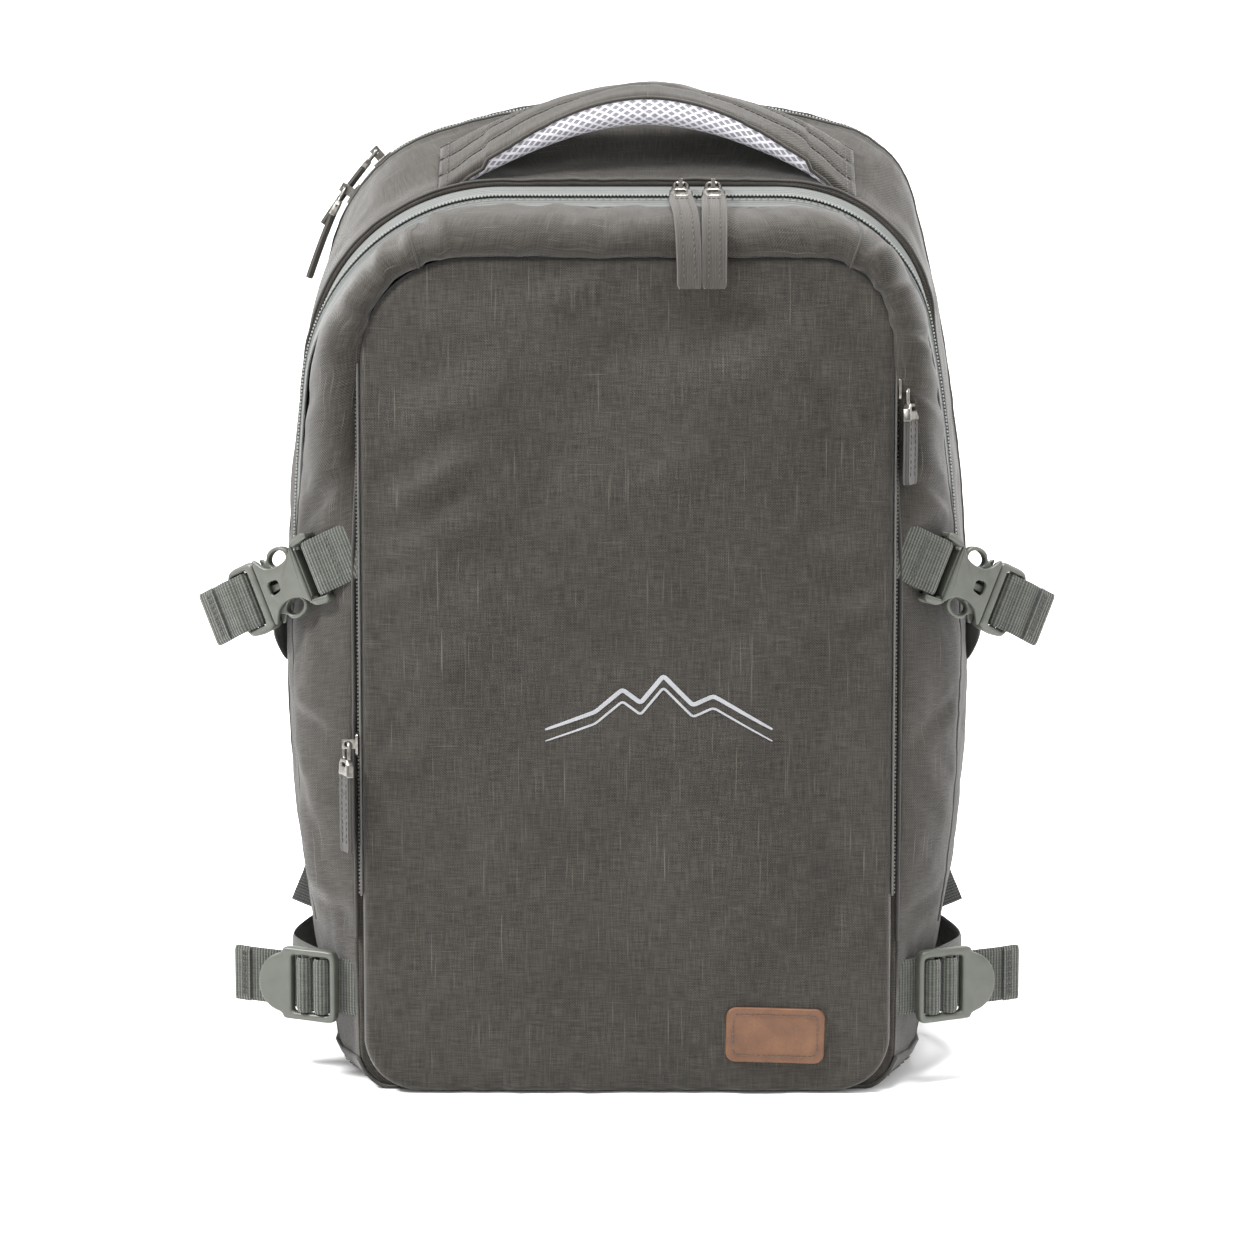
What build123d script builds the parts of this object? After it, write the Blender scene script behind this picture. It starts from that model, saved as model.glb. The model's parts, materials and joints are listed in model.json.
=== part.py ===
"""Daypack: a zipped travel backpack, modelled panel by panel.

Frame: millimetres, +Z up, the front of the bag faces -Y, the wearer's back is at +Y.
The origin is on the floor, at the middle of the base panel's resting face.

The body is one ruled loft through six outlines that stand across Y. Every fabric panel is a
slice of the wall between that loft and the same loft pulled in by the wall's thickness, so
panels meet edge to edge like sewn pieces. Above split_height the front section and the back
section are separate lids on the middle section, and they swing on soft hinges at the split.
"""

from build123d import *
import math
import os

os.makedirs("parts", exist_ok=True)

# ---- overall body ------------------------------------------------------------
half_width = 158.0  # widest half width, at the rear zip, at mid height
roof_height = 440.0  # crown of the body at the rear zip
front_depth = 32.0  # front section, from its face edge to the front zip
middle_depth = 52.0  # middle section, between the two zips
rear_depth = 64.0  # back section, from the rear zip to the back panel
zip_width = 12.0  # one closed zip, both tapes together
front_zip_y = -50.0  # where the front zip's teeth meet
wall = 3.0  # padded fabric
split_height = 70.0  # the zips end here, and the lids bend here
split_gap = 1.6  # free height between a lid and the lower bucket
widest_height = 190.0  # where the sides bulge most
base_radius = 18.0  # rounding along the base's long edges

# ---- flat front pocket -------------------------------------------------------
pocket_thick = 8.0
pocket_half_width = 117.0
pocket_drop = 67.0  # roof crown to the pocket's top edge
pocket_lift = 5.0  # base to the pocket's bottom edge
pocket_radius_left = 42.0
pocket_radius_right = 32.0

# ---- webbing and its hardware ------------------------------------------------
webbing_width = 25.0
webbing_thick = 1.6
buckle_margin = 4.0  # plastic each side of the webbing
bar_radius = 1.5
wrap_clearance = 0.3  # webbing loop round a bar
buckle_thick = 9.2
female_length = 33.0
male_length = 17.0
mouth_gap = 0.4
prong_thick = 4.0
prong_clearance = 0.3
window_radius = 9.5
ladder_length = 20.0
thumb_length = 12.0
ladder_thick = 5.0
ladder_bar_u = 9.0  # the webbing's bar, from the pivot bar

seam_room = 2.3  # outwards from the front edge to the middle of a strap's seam end
webbing_lift = 2.4  # middle of a webbing's thickness to the panel that it lies on
upper_strap_height = 243.0  # where the compression strap leaves the front seam
upper_strap_turn = 32.0  # degrees, from the bag's width towards its back
upper_strap_fall = 26.0  # degrees below level
upper_webbing_length = 2 * buckle_thick  # front seam to the buckle's bar
upper_strap_drop = 50.0  # from its front seam down to its rear anchor
upper_tail_length = 15.0  # past the buckle
lower_strap_height = 45.0
lower_strap_turn = 26.0
lower_webbing_length = 16.0
lower_tail_length = 17.0  # past the ladder lock's thumb tab

# ---- zip sliders and pulls ---------------------------------------------------
tape_thick = wall
teeth_gap = 1.2  # slot between the two rows of teeth
slider_length = 10.0
slider_width = 8.0
plate_thick = 1.1
plate_clearance = 0.5
under_clearance = 1.0  # bottom plate to the tapes, which lift a little as a lid swings away
blade_thick = 0.7
lug_height = 4.0  # top plate to the lug's hole
lug_thick = 1.8
pin_radius = 1.0
pin_clearance = 0.08
pull_width = 10.5
pull_thick = 2.4
bail_length = 8.0
bail_half = 2.6
wire = 1.6
front_slider_x = 31.2  # middle of the pair
front_slider_gap = 14.5
rear_slider_low_angle = 148.0  # on the left shoulder, from +X
rear_slider_high_angle = 131.0
pocket_slider_left_z = 158.0
pocket_slider_right_drop = 57.0  # below the pocket's top edge
pocket_tape = 1.4
pocket_pull_shift = 3.0  # the tabs hang this far forward, clear of the compression straps
tab_gap = 0.35  # between the two rear pulls' tabs, side by side

# ---- carrying parts ----------------------------------------------------------
pad_thick = 12.0
pad_round = 14.0
back_pad_size = (100.0, 200.0)  # width and height
back_pad_x = 62.0
back_pad_z = 226.0
lumbar_height = 40.0
lumbar_z = 99.0
lumbar_inset = 34.0  # lumbar pad's ends stay clear of the straps' webbing
yoke_size = (168.0, 60.0)
yoke_z = 362.0
strap_thick = 12.0
strap_top_drop = 40.0  # roof crown to the padded strap's top end
strap_top_edges = (14.0, 72.0)  # inner and outer edge at its top end
strap_bends = ((48.0, 275.0), (118.0, 280.0))  # where the inner and the outer edge bend most
strap_low_edges = (72.0, 118.0)  # inner and outer edge at its low end
strap_low_z = 142.0  # where the padded strap ends
strap_bow = (0.4, 17.0, 10.0)  # its face off the pads: at the top, where it bows most, and at the low end
strap_bow_z = 290.0
adjuster_room = 5.4  # strap end to the adjuster's bar
adjuster_lean = 0.12  # outwards, for each unit down
tab_z = 46.0  # webbing triangle at the bag's low rear corner
tab_reach = 24.0
tab_root_half = 17.0
tab_tip = (-5.0, 7.0)
handle_width = 30.0
handle_thick = 13.0
handle_end_thick = 6.0
handle_lift = 10.5  # least finger gap under the handle's middle
handle_tilt = 7.0  # the middle's front edge is this much lower than its rear edge
handle_half_length = 94.0
handle_centre_x = 9.0
lid_axis_room = 4.0  # the back lid's bend lies this far behind its panel
back_panel_thick = 4.0
divider_thick = 3.0
divider_share = 0.45  # of the middle section's depth
divider_drop = 12.0  # front zip's crown to the divider's top
sleeve_width = 240.0
sleeve_depth = 22.0
sleeve_lift = 12.0  # the back lid's bend to the sleeve's floor
sleeve_thick = 4.0
sleeve_drop = 64.0  # back panel's top corner to the sleeve's mouth
patch_size = (44.0, 25.0, 1.8)
patch_place = (66.0, 27.0)  # its middle's x and height
patch_turn = -1.6  # degrees
patch_round = 4.0

FAR = 400.0  # half size of the boxes that cut panels out of the loft
TOUCH = 0.3  # room between parts of different bodies that only come close

# ---- places that follow from the sizes ---------------------------------------
front_zip_front = front_zip_y - zip_width / 2
front_zip_rear = front_zip_y + zip_width / 2
edge_y = front_zip_front - front_depth
rear_zip_front = front_zip_rear + middle_depth
rear_zip_y = rear_zip_front + zip_width / 2
rear_zip_rear = rear_zip_front + zip_width
back_y = rear_zip_rear + rear_depth
face_y = edge_y - wall  # outer side of the front face sheet
pocket_y = face_y - pocket_thick
back_face_y = back_y + back_panel_thick
lid_low = split_height + split_gap / 2
bucket_top = split_height - split_gap / 2
pocket_top = roof_height - pocket_drop


class Outline:
    """One cross-section of the body: half widths, top heights, crown and corner radii."""

    def __init__(self, base, middle, top_left, top_right, left, right, crown, radius_left, radius_right):
        self.base, self.middle = base, middle
        self.top_left, self.top_right = top_left, top_right
        self.left, self.right, self.crown = left, right, crown
        self.radius_left, self.radius_right = radius_left, radius_right

    def side_at(self, z, side):
        """Half width at height z, away from the rounded corners: the circle through three points."""
        top_x, top_z = (self.top_right, self.right) if side > 0 else (self.top_left, self.left)
        x1, z1, x2, z2, x3, z3 = self.base, 0, self.middle, widest_height, top_x, top_z
        a, b, c = x1 * x1 + z1 * z1, x2 * x2 + z2 * z2, x3 * x3 + z3 * z3
        d = 2 * (x1 * (z2 - z3) + x2 * (z3 - z1) + x3 * (z1 - z2))
        centre_x = (a * (z2 - z3) + b * (z3 - z1) + c * (z1 - z2)) / d
        centre_z = (a * (x3 - x2) + b * (x1 - x3) + c * (x2 - x1)) / d
        radius = math.hypot(x1 - centre_x, z1 - centre_z)
        return centre_x + math.sqrt(radius**2 - (z - centre_z) ** 2)

    def face(self, y, inset=0.0):
        """The outline pulled in by inset, as a face standing across Y at y."""
        low = inset
        points = {
            "bl": (-self.base + inset, low),
            "br": (self.base - inset, low),
            "tr": (self.top_right - inset, self.right - inset),
            "tl": (-self.top_left + inset, self.left - inset),
        }
        middle = self.middle - inset
        top_middle = (points["tl"][0] + points["tr"][0]) / 2, (points["tl"][1] + points["tr"][1]) / 2
        if self.crown:
            top = ThreePointArc(points["tr"], (top_middle[0], top_middle[1] + self.crown), points["tl"])
        else:
            top = Line(points["tr"], points["tl"])
        edges = [
            Line(points["bl"], points["br"]),
            ThreePointArc(points["br"], (middle, widest_height), points["tr"]),
            top,
            ThreePointArc(points["tl"], (-middle, widest_height), points["bl"]),
        ]
        shape = make_face(edges)
        radii = {"bl": base_radius, "br": base_radius, "tr": self.radius_right, "tl": self.radius_left}
        for corner, radius in radii.items():
            place = Vector(*points[corner], 0)
            nearest = min(shape.vertices(), key=lambda v: (Vector(*v) - place).length)
            shape = fillet(nearest, radius - inset)
        return Plane.XZ.offset(-y) * shape


# every outline's sizes, from the widest half width and the roof's crown
edge_outline = Outline(
    half_width - 38, half_width - 37, half_width - 38, half_width - 38,
    roof_height - 60, roof_height - 60, 0, 44, 36,
)
front_outline = Outline(
    half_width - 29, half_width - 8, half_width - 24, half_width - 34,
    roof_height - 42, roof_height - 42, 0, 90, 70,
)
rear_outline = Outline(
    half_width - 24, half_width, half_width - 34, half_width - 34,
    roof_height - 28, roof_height - 20, 24, 70, 46,
)
back_outline = Outline(
    half_width - 30, half_width - 8, half_width - 41, half_width - 41,
    roof_height - 36, roof_height - 28, 20, 66, 44,
)


stations = [
    (edge_outline, edge_y),
    (front_outline, front_zip_front),
    (front_outline, front_zip_rear),
    (rear_outline, rear_zip_front),
    (rear_outline, rear_zip_rear),
    (back_outline, back_y),
]


def body_loft(inset):
    """The whole body, or the hollow in it, as one ruled loft from front to back."""
    return loft([outline.face(y, inset) for outline, y in stations], ruled=True)


def body_side(y, z):
    """Half width of the body's wider side at depth y and height z."""
    for (near, y0), (far, y1) in zip(stations, stations[1:]):
        if y0 <= y <= y1:
            share = (y - y0) / (y1 - y0)
            return max(near.side_at(z, side) * (1 - share) + far.side_at(z, side) * share for side in (-1, 1))


def slab(y0, y1, z0=-FAR, z1=2 * FAR):
    """A wide box between two depths and two heights."""
    return Pos(0, (y0 + y1) / 2, (z0 + z1) / 2) * Box(2 * FAR, y1 - y0, z1 - z0)


def plate(outline, y0, y1, z0, z1):
    """A flat panel with a body outline, from y0 to y1, cut between two heights."""
    return extrude(outline.face(y0), amount=y1 - y0, dir=(0, 1, 0)) & slab(y0, y1, z0, z1)


def body_panels():
    """The sewn panels of the bucket, the middle section and the two lids."""
    outer = body_loft(0)
    shell = outer - body_loft(wall)
    half_gap = teeth_gap / 2
    high = 2 * FAR
    bucket = shell & slab(edge_y, back_y, wall, bucket_top)
    front_wall = plate(edge_outline, face_y, edge_y, wall, bucket_top)
    back_wall = plate(back_outline, back_y, back_face_y, wall, bucket_top)
    divider_y = front_zip_rear + middle_depth * divider_share
    divider = body_loft(wall + TOUCH) & slab(
        divider_y, divider_y + divider_thick, wall, front_outline.left - divider_drop
    )
    return {
        "base_panel": outer & slab(edge_y, back_y, 0, wall),
        "lower_skirt": bucket + front_wall + back_wall,
        "mid_gusset": shell & slab(front_zip_rear, rear_zip_front, bucket_top, high),
        "divider_panel": divider,
        "front_zip_rear_tape": shell & slab(front_zip_y + half_gap, front_zip_rear, bucket_top, high),
        "rear_zip_front_tape": shell & slab(rear_zip_front, rear_zip_y - half_gap, bucket_top, high),
        "front_gusset": shell & slab(edge_y, front_zip_front, lid_low, high),
        "front_face": plate(edge_outline, face_y, edge_y, lid_low, high),
        "front_zip_front_tape": shell & slab(front_zip_front, front_zip_y - half_gap, lid_low, high),
        "rear_gusset": shell & slab(rear_zip_rear, back_y, lid_low, high),
        "back_panel": plate(back_outline, back_y, back_face_y, lid_low, high),
        "rear_zip_rear_tape": shell & slab(rear_zip_y + half_gap, rear_zip_rear, lid_low, high),
    }


def pocket_sheet(z0, z1):
    """The flat pocket's pad between two heights."""
    corners = [(-pocket_half_width, pocket_lift), (pocket_half_width, pocket_lift)]
    corners += [(pocket_half_width, pocket_top), (-pocket_half_width, pocket_top)]
    shape = make_face(Polyline(*corners, close=True))
    top_left = shape.vertices().sort_by(Axis.Y)[-2:].sort_by(Axis.X)[0]
    shape = fillet(top_left, pocket_radius_left)
    at_top = shape.vertices().filter_by_position(Axis.Y, pocket_top - 1, pocket_top + 1)
    top_right = at_top.sort_by(Axis.X)[-1]
    shape = fillet(top_right, pocket_radius_right)
    return extrude(Plane.XZ.offset(-pocket_y) * shape, amount=pocket_thick, dir=(0, 1, 0)) & slab(
        pocket_y, face_y, z0, z1
    )


def pocket_parts():
    """The pocket on the front face, in two heights, and its two side zips."""
    zip_low = split_height + 20
    zip_high = pocket_top - pocket_radius_left - 4
    tape = Pos(0, (pocket_y + face_y) / 2, (zip_low + zip_high) / 2) * Box(
        pocket_tape, pocket_thick - 2, zip_high - zip_low
    )
    reach = pocket_half_width + pocket_tape / 2
    return {
        "front_pocket": pocket_sheet(lid_low, pocket_top),
        "front_pocket_lower": pocket_sheet(pocket_lift, bucket_top),
        "pocket_zip_left": Pos(-reach, 0, 0) * tape,
        "pocket_zip_right": Pos(reach, 0, 0) * tape,
    }


def patch():
    """The blank leather patch, low on the right of the pocket."""
    width, height, thick = patch_size
    shape = Rot(90, 0, 0) * extrude(RectangleRounded(width, height, patch_round), amount=thick)
    x, z = patch_place
    return Pos(x, pocket_y, z) * Rot(0, patch_turn, 0) * shape


# ---- buckles: u runs from the seam outwards, v down across the webbing, w off the bag --


def bar(u, half_length, radius=bar_radius):
    """A round crossbar along v."""
    return Pos(u, 0, 0) * Rot(90, 0, 0) * Cylinder(radius, 2 * half_length)


def wrap(u):
    """Webbing folded round a bar."""
    inner = bar_radius + wrap_clearance
    return bar(u, webbing_width / 2, inner + webbing_thick) - bar(u, webbing_width, inner)


def ribbon(start, end, width=webbing_width, thick=webbing_thick):
    """A flat run of webbing in the u-w plane, from start to end."""
    along = Vector(end[0] - start[0], 0, end[1] - start[1])
    middle = ((start[0] + end[0]) / 2, 0, (start[1] + end[1]) / 2)
    place = Plane(origin=middle, x_dir=along, z_dir=along.cross(Vector(0, 1, 0)))
    return place * Box(along.length, width, thick)


wrap_out = bar_radius + wrap_clearance + webbing_thick  # outer radius of a webbing loop
loop_join = 0.6  # how far a run reaches into its loop
buckle_half = webbing_width / 2 + buckle_margin
slot_half = webbing_width / 2 + 0.7
bar_end = 2.0  # the female's bar to its seam end
prong_pivot_u = female_length - bar_end + mouth_gap + prong_clearance
male_start = female_length - bar_end + mouth_gap
male_bar_u = male_start + male_length * 0.58
prong_reach = 14.0  # pivot to the ring's centre
prong_pivot_v = 9.0
ring_radius = 5.8
ring_v = buckle_half + 1.2 - ring_radius


def female():
    """Socket half: webbing bar, hollow housing, and two waists that show the prongs' rings."""
    mid = female_length / 2 - bar_end
    body = Pos(mid, 0, 0) * Box(female_length, 2 * buckle_half, buckle_thick)
    body = fillet(body.edges().filter_by(Axis.Z), 2.5)
    slot_length = 8.5
    body -= Pos(slot_length / 2 - bar_end, 0, 0) * Box(slot_length, 2 * slot_half, buckle_thick + 1)
    body += bar(0, slot_half + 1)
    cavity_start = slot_length - bar_end + 2.5
    cavity_end = female_length - bar_end + 1
    cavity_half = buckle_half - wall
    cavity_thick = prong_thick + 2 * prong_clearance + 1
    cavity = Pos((cavity_start + cavity_end) / 2, 0, 0) * Box(
        cavity_end - cavity_start, 2 * cavity_half, cavity_thick
    )
    slot_start = prong_pivot_u - prong_reach
    side_slot = Pos((slot_start + cavity_end) / 2, 0, 0) * Box(
        cavity_end - slot_start, 2 * buckle_half + 2, prong_thick + 2 * prong_clearance
    )
    body -= cavity + side_slot
    for side in (-1, 1):
        body -= Pos(slot_start + 1.5, side * (buckle_half + 1), 0) * Cylinder(window_radius, buckle_thick + 1)
    return body


def male():
    """Insert half: base with a webbing bar, and the guide tongue."""
    length = male_length
    base = Pos(male_start + length / 2, 0, 0) * Box(length, 2 * buckle_half - 1, buckle_thick - 0.8)
    base = fillet(base.edges().filter_by(Axis.Z), 3)
    window_start, window_end = male_start + 4, male_start + length - 2.5
    window = Box(window_end - window_start, 2 * slot_half, buckle_thick)
    base -= Pos((window_start + window_end) / 2, 0, 0) * window
    base += bar(male_bar_u, slot_half + 1)
    tongue_start = prong_pivot_u - prong_reach - 4
    tongue = Pos((tongue_start + male_start) / 2, 0, 0) * Box(
        male_start - tongue_start + 0.5, 4, prong_thick + prong_clearance
    )
    return base + tongue


def prong(side):
    """One flexing arm with the thumb ring at its tip."""
    ring_u = prong_pivot_u - prong_reach
    foot = Vector(prong_pivot_u - prong_clearance - 1.6, side * prong_pivot_v, 0)
    tip = Vector(ring_u + 3, side * (ring_v + 1.5), 0)
    along = tip - foot
    middle = (foot + tip) / 2
    arm = Plane(origin=middle, x_dir=along, z_dir=(0, 0, 1)) * Box(along.length, 2.8, prong_thick)
    hole = Pos(ring_u, side * ring_v, 0) * Cylinder(ring_radius - 2, prong_thick + 1)
    ring = Pos(ring_u, side * ring_v, 0) * Cylinder(ring_radius, prong_thick)
    return (arm + ring) - hole


def ladder_lock():
    """Three-bar slide: pivot bar, webbing bar and a raised thumb tab."""
    half = buckle_half
    frame_start, frame_end = -bar_radius, ladder_length
    frame = Pos((frame_start + frame_end) / 2, 0, 0) * Box(frame_end - frame_start, 2 * half, ladder_thick)
    frame = fillet(frame.edges().filter_by(Axis.Z).group_by(Axis.X)[-1], 2.5)
    window_start, window_end = frame_start - 1, ladder_length - 4.5
    frame -= Pos((window_start + window_end) / 2, 0, 0) * Box(
        window_end - window_start, 2 * slot_half, ladder_thick + 1
    )
    frame += bar(0, slot_half + 1) + bar(ladder_bar_u, slot_half + 1)
    tab = extrude(Ellipse(thumb_length, half - 2), amount=3)
    tab = Pos(ladder_length - 1, 0, ladder_thick / 2 - 3) * (tab & Pos(thumb_length / 2, 0, 0) * Box(
        thumb_length, 2 * half, 10
    ))
    return frame + tab


def strap_plane(start, turn, fall):
    """Local plane of a left strap: u along the webbing, v down across it, w out of the bag."""
    turn, fall = math.radians(turn), math.radians(fall)
    along = Vector(-math.cos(turn) * math.cos(fall), math.sin(turn) * math.cos(fall), -math.sin(fall))
    up = (Vector(0, 0, 1) - along * along.dot(Vector(0, 0, 1))).normalized()
    outward = along.cross(up) * -1
    return Plane(origin=start, x_dir=along, z_dir=outward)


seam_start = Vector(-edge_outline.middle - seam_room, edge_y - 0.6, upper_strap_height)
seam_plane = strap_plane(seam_start, upper_strap_turn, upper_strap_fall)
upper_plane = Plane(
    origin=seam_start + seam_plane.x_dir * upper_webbing_length,
    x_dir=seam_plane.x_dir,
    z_dir=seam_plane.z_dir,
)
low_start = Vector(-edge_outline.base - seam_room, edge_y - 0.6, lower_strap_height)
low_seam_plane = strap_plane(low_start, lower_strap_turn, 0)
lower_plane = Plane(
    origin=low_start + low_seam_plane.x_dir * lower_webbing_length,
    x_dir=low_seam_plane.x_dir,
    z_dir=low_seam_plane.z_dir,
)


def run_between(start, end, lean, width=webbing_width):
    """A flat webbing run between two points in the body's frame; lean is roughly its face normal."""
    along = end - start
    return Plane(origin=(start + end) / 2, x_dir=along, z_dir=along.cross(lean).cross(along)) * Box(
        along.length, width, webbing_thick
    )


def compression_strap():
    """The left upper strap and its side-release buckle."""
    seam_end = (-upper_webbing_length - 6, 0)
    front = upper_plane * (wrap(0) + ribbon(seam_end, (-wrap_out + loop_join, 0)))
    front &= Pos(-edge_outline.middle - 0.4 - FAR / 2, 0, 0) * Box(FAR, 2 * FAR, 2 * FAR)
    over_end = (male_start + male_length - 2.8, buckle_thick / 2 + webbing_thick / 2 + 0.2)
    tail_end = (male_start + male_length + upper_tail_length, buckle_thick / 2 + webbing_thick / 2)
    rise = ribbon((male_bar_u + 1.8, 2.0), over_end)
    tail = upper_plane * (wrap(male_bar_u) + rise + ribbon(over_end, tail_end))
    leave = upper_plane.from_local_coords(Vector(male_bar_u + 2, 0, -wrap_out - 7))
    anchor_y = rear_zip_front - 6
    anchor_z = upper_strap_height - upper_strap_drop
    anchor = Vector(-body_side(anchor_y, anchor_z) - webbing_lift, anchor_y, anchor_z)
    return {
        "compression_front": front,
        "buckle_female": upper_plane * female(),
        "buckle_male": upper_plane * male(),
        "compression_tail": tail,
        "compression_rear": run_between(leave, anchor, Vector(-1, 0, 0)),
        "prong_upper": upper_plane * prong(-1),
        "prong_lower": upper_plane * prong(1),
    }


def lower_strap():
    """The left lower strap: loop on the pivot bar, ladder lock, tail and rear run."""
    loop = lower_plane * (wrap(0) + ribbon((-lower_webbing_length, 0), (-wrap_out + loop_join, 0)))
    tail_mid = (ladder_length + 4, -ladder_thick / 2 - 3)
    tail_end = (ladder_length + thumb_length + lower_tail_length, -ladder_thick / 2 - 5)
    tail_start = (ladder_bar_u, -wrap_out + 0.4)
    tail = lower_plane * (wrap(ladder_bar_u) + ribbon(tail_start, tail_mid) + ribbon(tail_mid, tail_end))
    leave = lower_plane.from_local_coords(Vector(ladder_bar_u - 3, 0, -ladder_thick - 4))
    anchor_y = rear_zip_front - 6
    high = lower_strap_height + webbing_width / 2
    anchor = Vector(-body_side(anchor_y, high) - webbing_lift - 2.4, anchor_y, lower_strap_height)
    rear = run_between(leave, anchor, Vector(-1, 0, 0))
    return {
        "lower_strap": Compound(children=[*loop.solids(), *rear.solids()]),
        "lower_tail": tail,
        "ladder_lock": lower_plane * ladder_lock(),
    }


# ---- zip sliders and pulls ----------------------------------------------------


def slider(under=True):
    """Slider: x along the zip, z out of the fabric, with its lug's hole along the pull's axis."""
    half_plate = slider_length / 2
    top = Pos(0, 0, plate_clearance + plate_thick / 2) * Box(slider_length, slider_width, plate_thick)
    top = fillet(top.edges().filter_by(Axis.Z), 2)
    body = top
    if under:
        low = -tape_thick - under_clearance - plate_thick
        body += Pos(0, 0, low + plate_thick / 2) * Box(slider_length, slider_width, plate_thick)
        post_height = plate_clearance - low
        body += Pos(-half_plate + 2.5, 0, low + post_height / 2) * Box(3, blade_thick, post_height)
    return body


def lug():
    """The slider's lug, with its hole along x, standing on the top plate."""
    base = plate_clearance + plate_thick
    height = lug_height + 2.2
    shape = Pos(0, 0, base + height / 2 - 0.2) * Box(lug_thick, 4.4, height + 0.4)
    hole = Pos(0, 0, base + lug_height) * Rot(0, 90, 0) * Cylinder(pin_radius + pin_clearance, 10)
    return shape - hole


lug_centre = plate_clearance + plate_thick + lug_height


def bail(shift=0.0):
    """Wire bail: a pin along x at the origin, two arms towards -y, a crossbar and the tab's clamp."""
    reach = bail_length
    shape = Rot(0, 90, 0) * Cylinder(pin_radius, 2 * bail_half)
    for side in (-1, 1):
        shape += Pos(side * (bail_half - 0.5), -reach / 2, 0) * Box(1, reach, wire)
    bar_length = bail_half + abs(shift)
    shape += Pos(shift / 2, -reach, 0) * Box(bar_length + bail_half, wire, wire)
    return shape + Pos(shift, -reach - 0.8, 0) * Box(pull_width, 3.0, 3.2)


def bent_pull():
    """Front zip's pull: bail, then a fabric tab that bends over the front roll and hangs down."""
    rise = roof_height - pocket_drop - front_outline.left - lug_centre
    over_y = pocket_y - front_zip_y - pull_thick
    points = [
        (-bail_length, -0.4),
        (-bail_length - 6, -1.0),
        (edge_y - front_zip_y, -18.0),
        (over_y + 2, rise + 7),
        (over_y - 2, rise - 1),
        (over_y - 2.6, rise - 12),
    ]
    strip = bail()
    for near, far in zip(points, points[1:]):
        along = Vector(0, far[0] - near[0], far[1] - near[1])
        middle = (0, (near[0] + far[0]) / 2, (near[1] + far[1]) / 2)
        place = Plane(origin=middle, x_dir=along, z_dir=along.cross(Vector(1, 0, 0)))
        strip += place * Box(along.length + pull_thick * 0.6, pull_width, pull_thick)
    return strip


def straight_pull(length, shift=0.0):
    """A pull that hangs straight along -y from its pin; shift moves the tab sideways on the bail."""
    tab = Pos(shift, -bail_length - length / 2, 0) * Box(pull_width, length, pull_thick)
    tab = fillet(tab.edges().filter_by(Axis.Z), 1.5)
    return bail(shift) + tab


def shoulder_point(angle, y):
    """Point and outward direction on the rear outline's left shoulder; angle is from +X in degrees."""
    arcs = rear_outline.face(y).edges().filter_by(GeomType.CIRCLE)
    arc = min(arcs, key=lambda e: abs(e.radius - rear_outline.radius_left))
    outward = Vector(math.cos(math.radians(angle)), 0, math.sin(math.radians(angle)))
    return arc.arc_center + outward * rear_outline.radius_left, outward


def front_zip_hardware():
    """The front zip's two sliders, nose to nose, and their pulls."""
    made = {}
    for side, name in ((-1, "left"), (1, "right")):
        point = Vector(front_slider_x + side * front_slider_gap / 2, front_zip_y, front_outline.left)
        body = Plane(origin=point, x_dir=(-side, 0, 0), z_dir=(0, 0, 1)) * slider()
        made[f"front_slider_{name}"] = body + Pos(point) * lug()
        made[f"front_pull_{name}"] = Pos(point + Vector(0, 0, lug_centre)) * bent_pull()
    return made


def rear_zip_hardware():
    """The rear zip's two sliders on the left shoulder, with their tabs side by side."""
    made = {}
    shift = pull_width / 2 + tab_gap
    for name, angle, press, side, length in (
        ("low", rear_slider_low_angle, 10.0, shift, 36.0),
        ("high", rear_slider_high_angle, 12.0, -shift - bail_half, 34.0),
    ):
        point, outward = shoulder_point(angle, rear_zip_y)
        along = Vector(outward.Z, 0, -outward.X)
        place = Plane(origin=point, x_dir=along, z_dir=outward)
        made[f"rear_slider_{name}"] = place * (slider() + Rot(0, 0, 90) * lug())
        lean = math.radians(angle - 90 + press)
        hang = Vector(-math.cos(lean), 0, -math.sin(lean))
        pivot = point + outward * lug_centre
        pull_plane = Plane(origin=pivot, x_dir=(0, -1, 0), z_dir=hang.cross(Vector(0, -1, 0)))
        made[f"rear_pull_{name}"] = pull_plane * straight_pull(length, side)
    return made


def pocket_zip_hardware():
    """The two side pocket zips' sliders and hanging pulls."""
    made = {}
    for name, side, z, length in (
        ("left", -1, pocket_slider_left_z, 40.0),
        ("right", 1, pocket_top - pocket_slider_right_drop, 34.0),
    ):
        point = Vector(side * (pocket_half_width + pocket_tape), (pocket_y + face_y) / 2, z)
        place = Plane(origin=point, x_dir=(0, 0, 1), z_dir=(side, 0, 0))
        made[f"pocket_slider_{name}"] = place * (slider(under=False) + Rot(0, 0, 90) * lug())
        pivot = point + Vector(side * lug_centre, 0, 0)
        pull_plane = Plane(origin=pivot, x_dir=(0, side, 0), z_dir=(side, 0, 0))
        made[f"pocket_pull_{name}"] = pull_plane * straight_pull(length, -side * pocket_pull_shift)
    return made


# ---- back, straps and handle ---------------------------------------------------


def back_pads():
    """Two tall pads, a lumbar pad and the strap yoke, sewn on the back panel."""
    lumbar_width = 2 * (half_width - lumbar_inset - 0.75 * webbing_width)
    pads = []
    for x, z, width, height in (
        (-back_pad_x, back_pad_z, *back_pad_size),
        (back_pad_x, back_pad_z, *back_pad_size),
        (0, lumbar_z, lumbar_width, lumbar_height),
        (0, yoke_z, *yoke_size),
    ):
        pad = Pos(x, back_face_y + pad_thick / 2, z) * Box(width, pad_thick, height)
        pads.append(fillet(pad.edges().filter_by(Axis.Y), pad_round))
    return Compound(children=pads)


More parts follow.
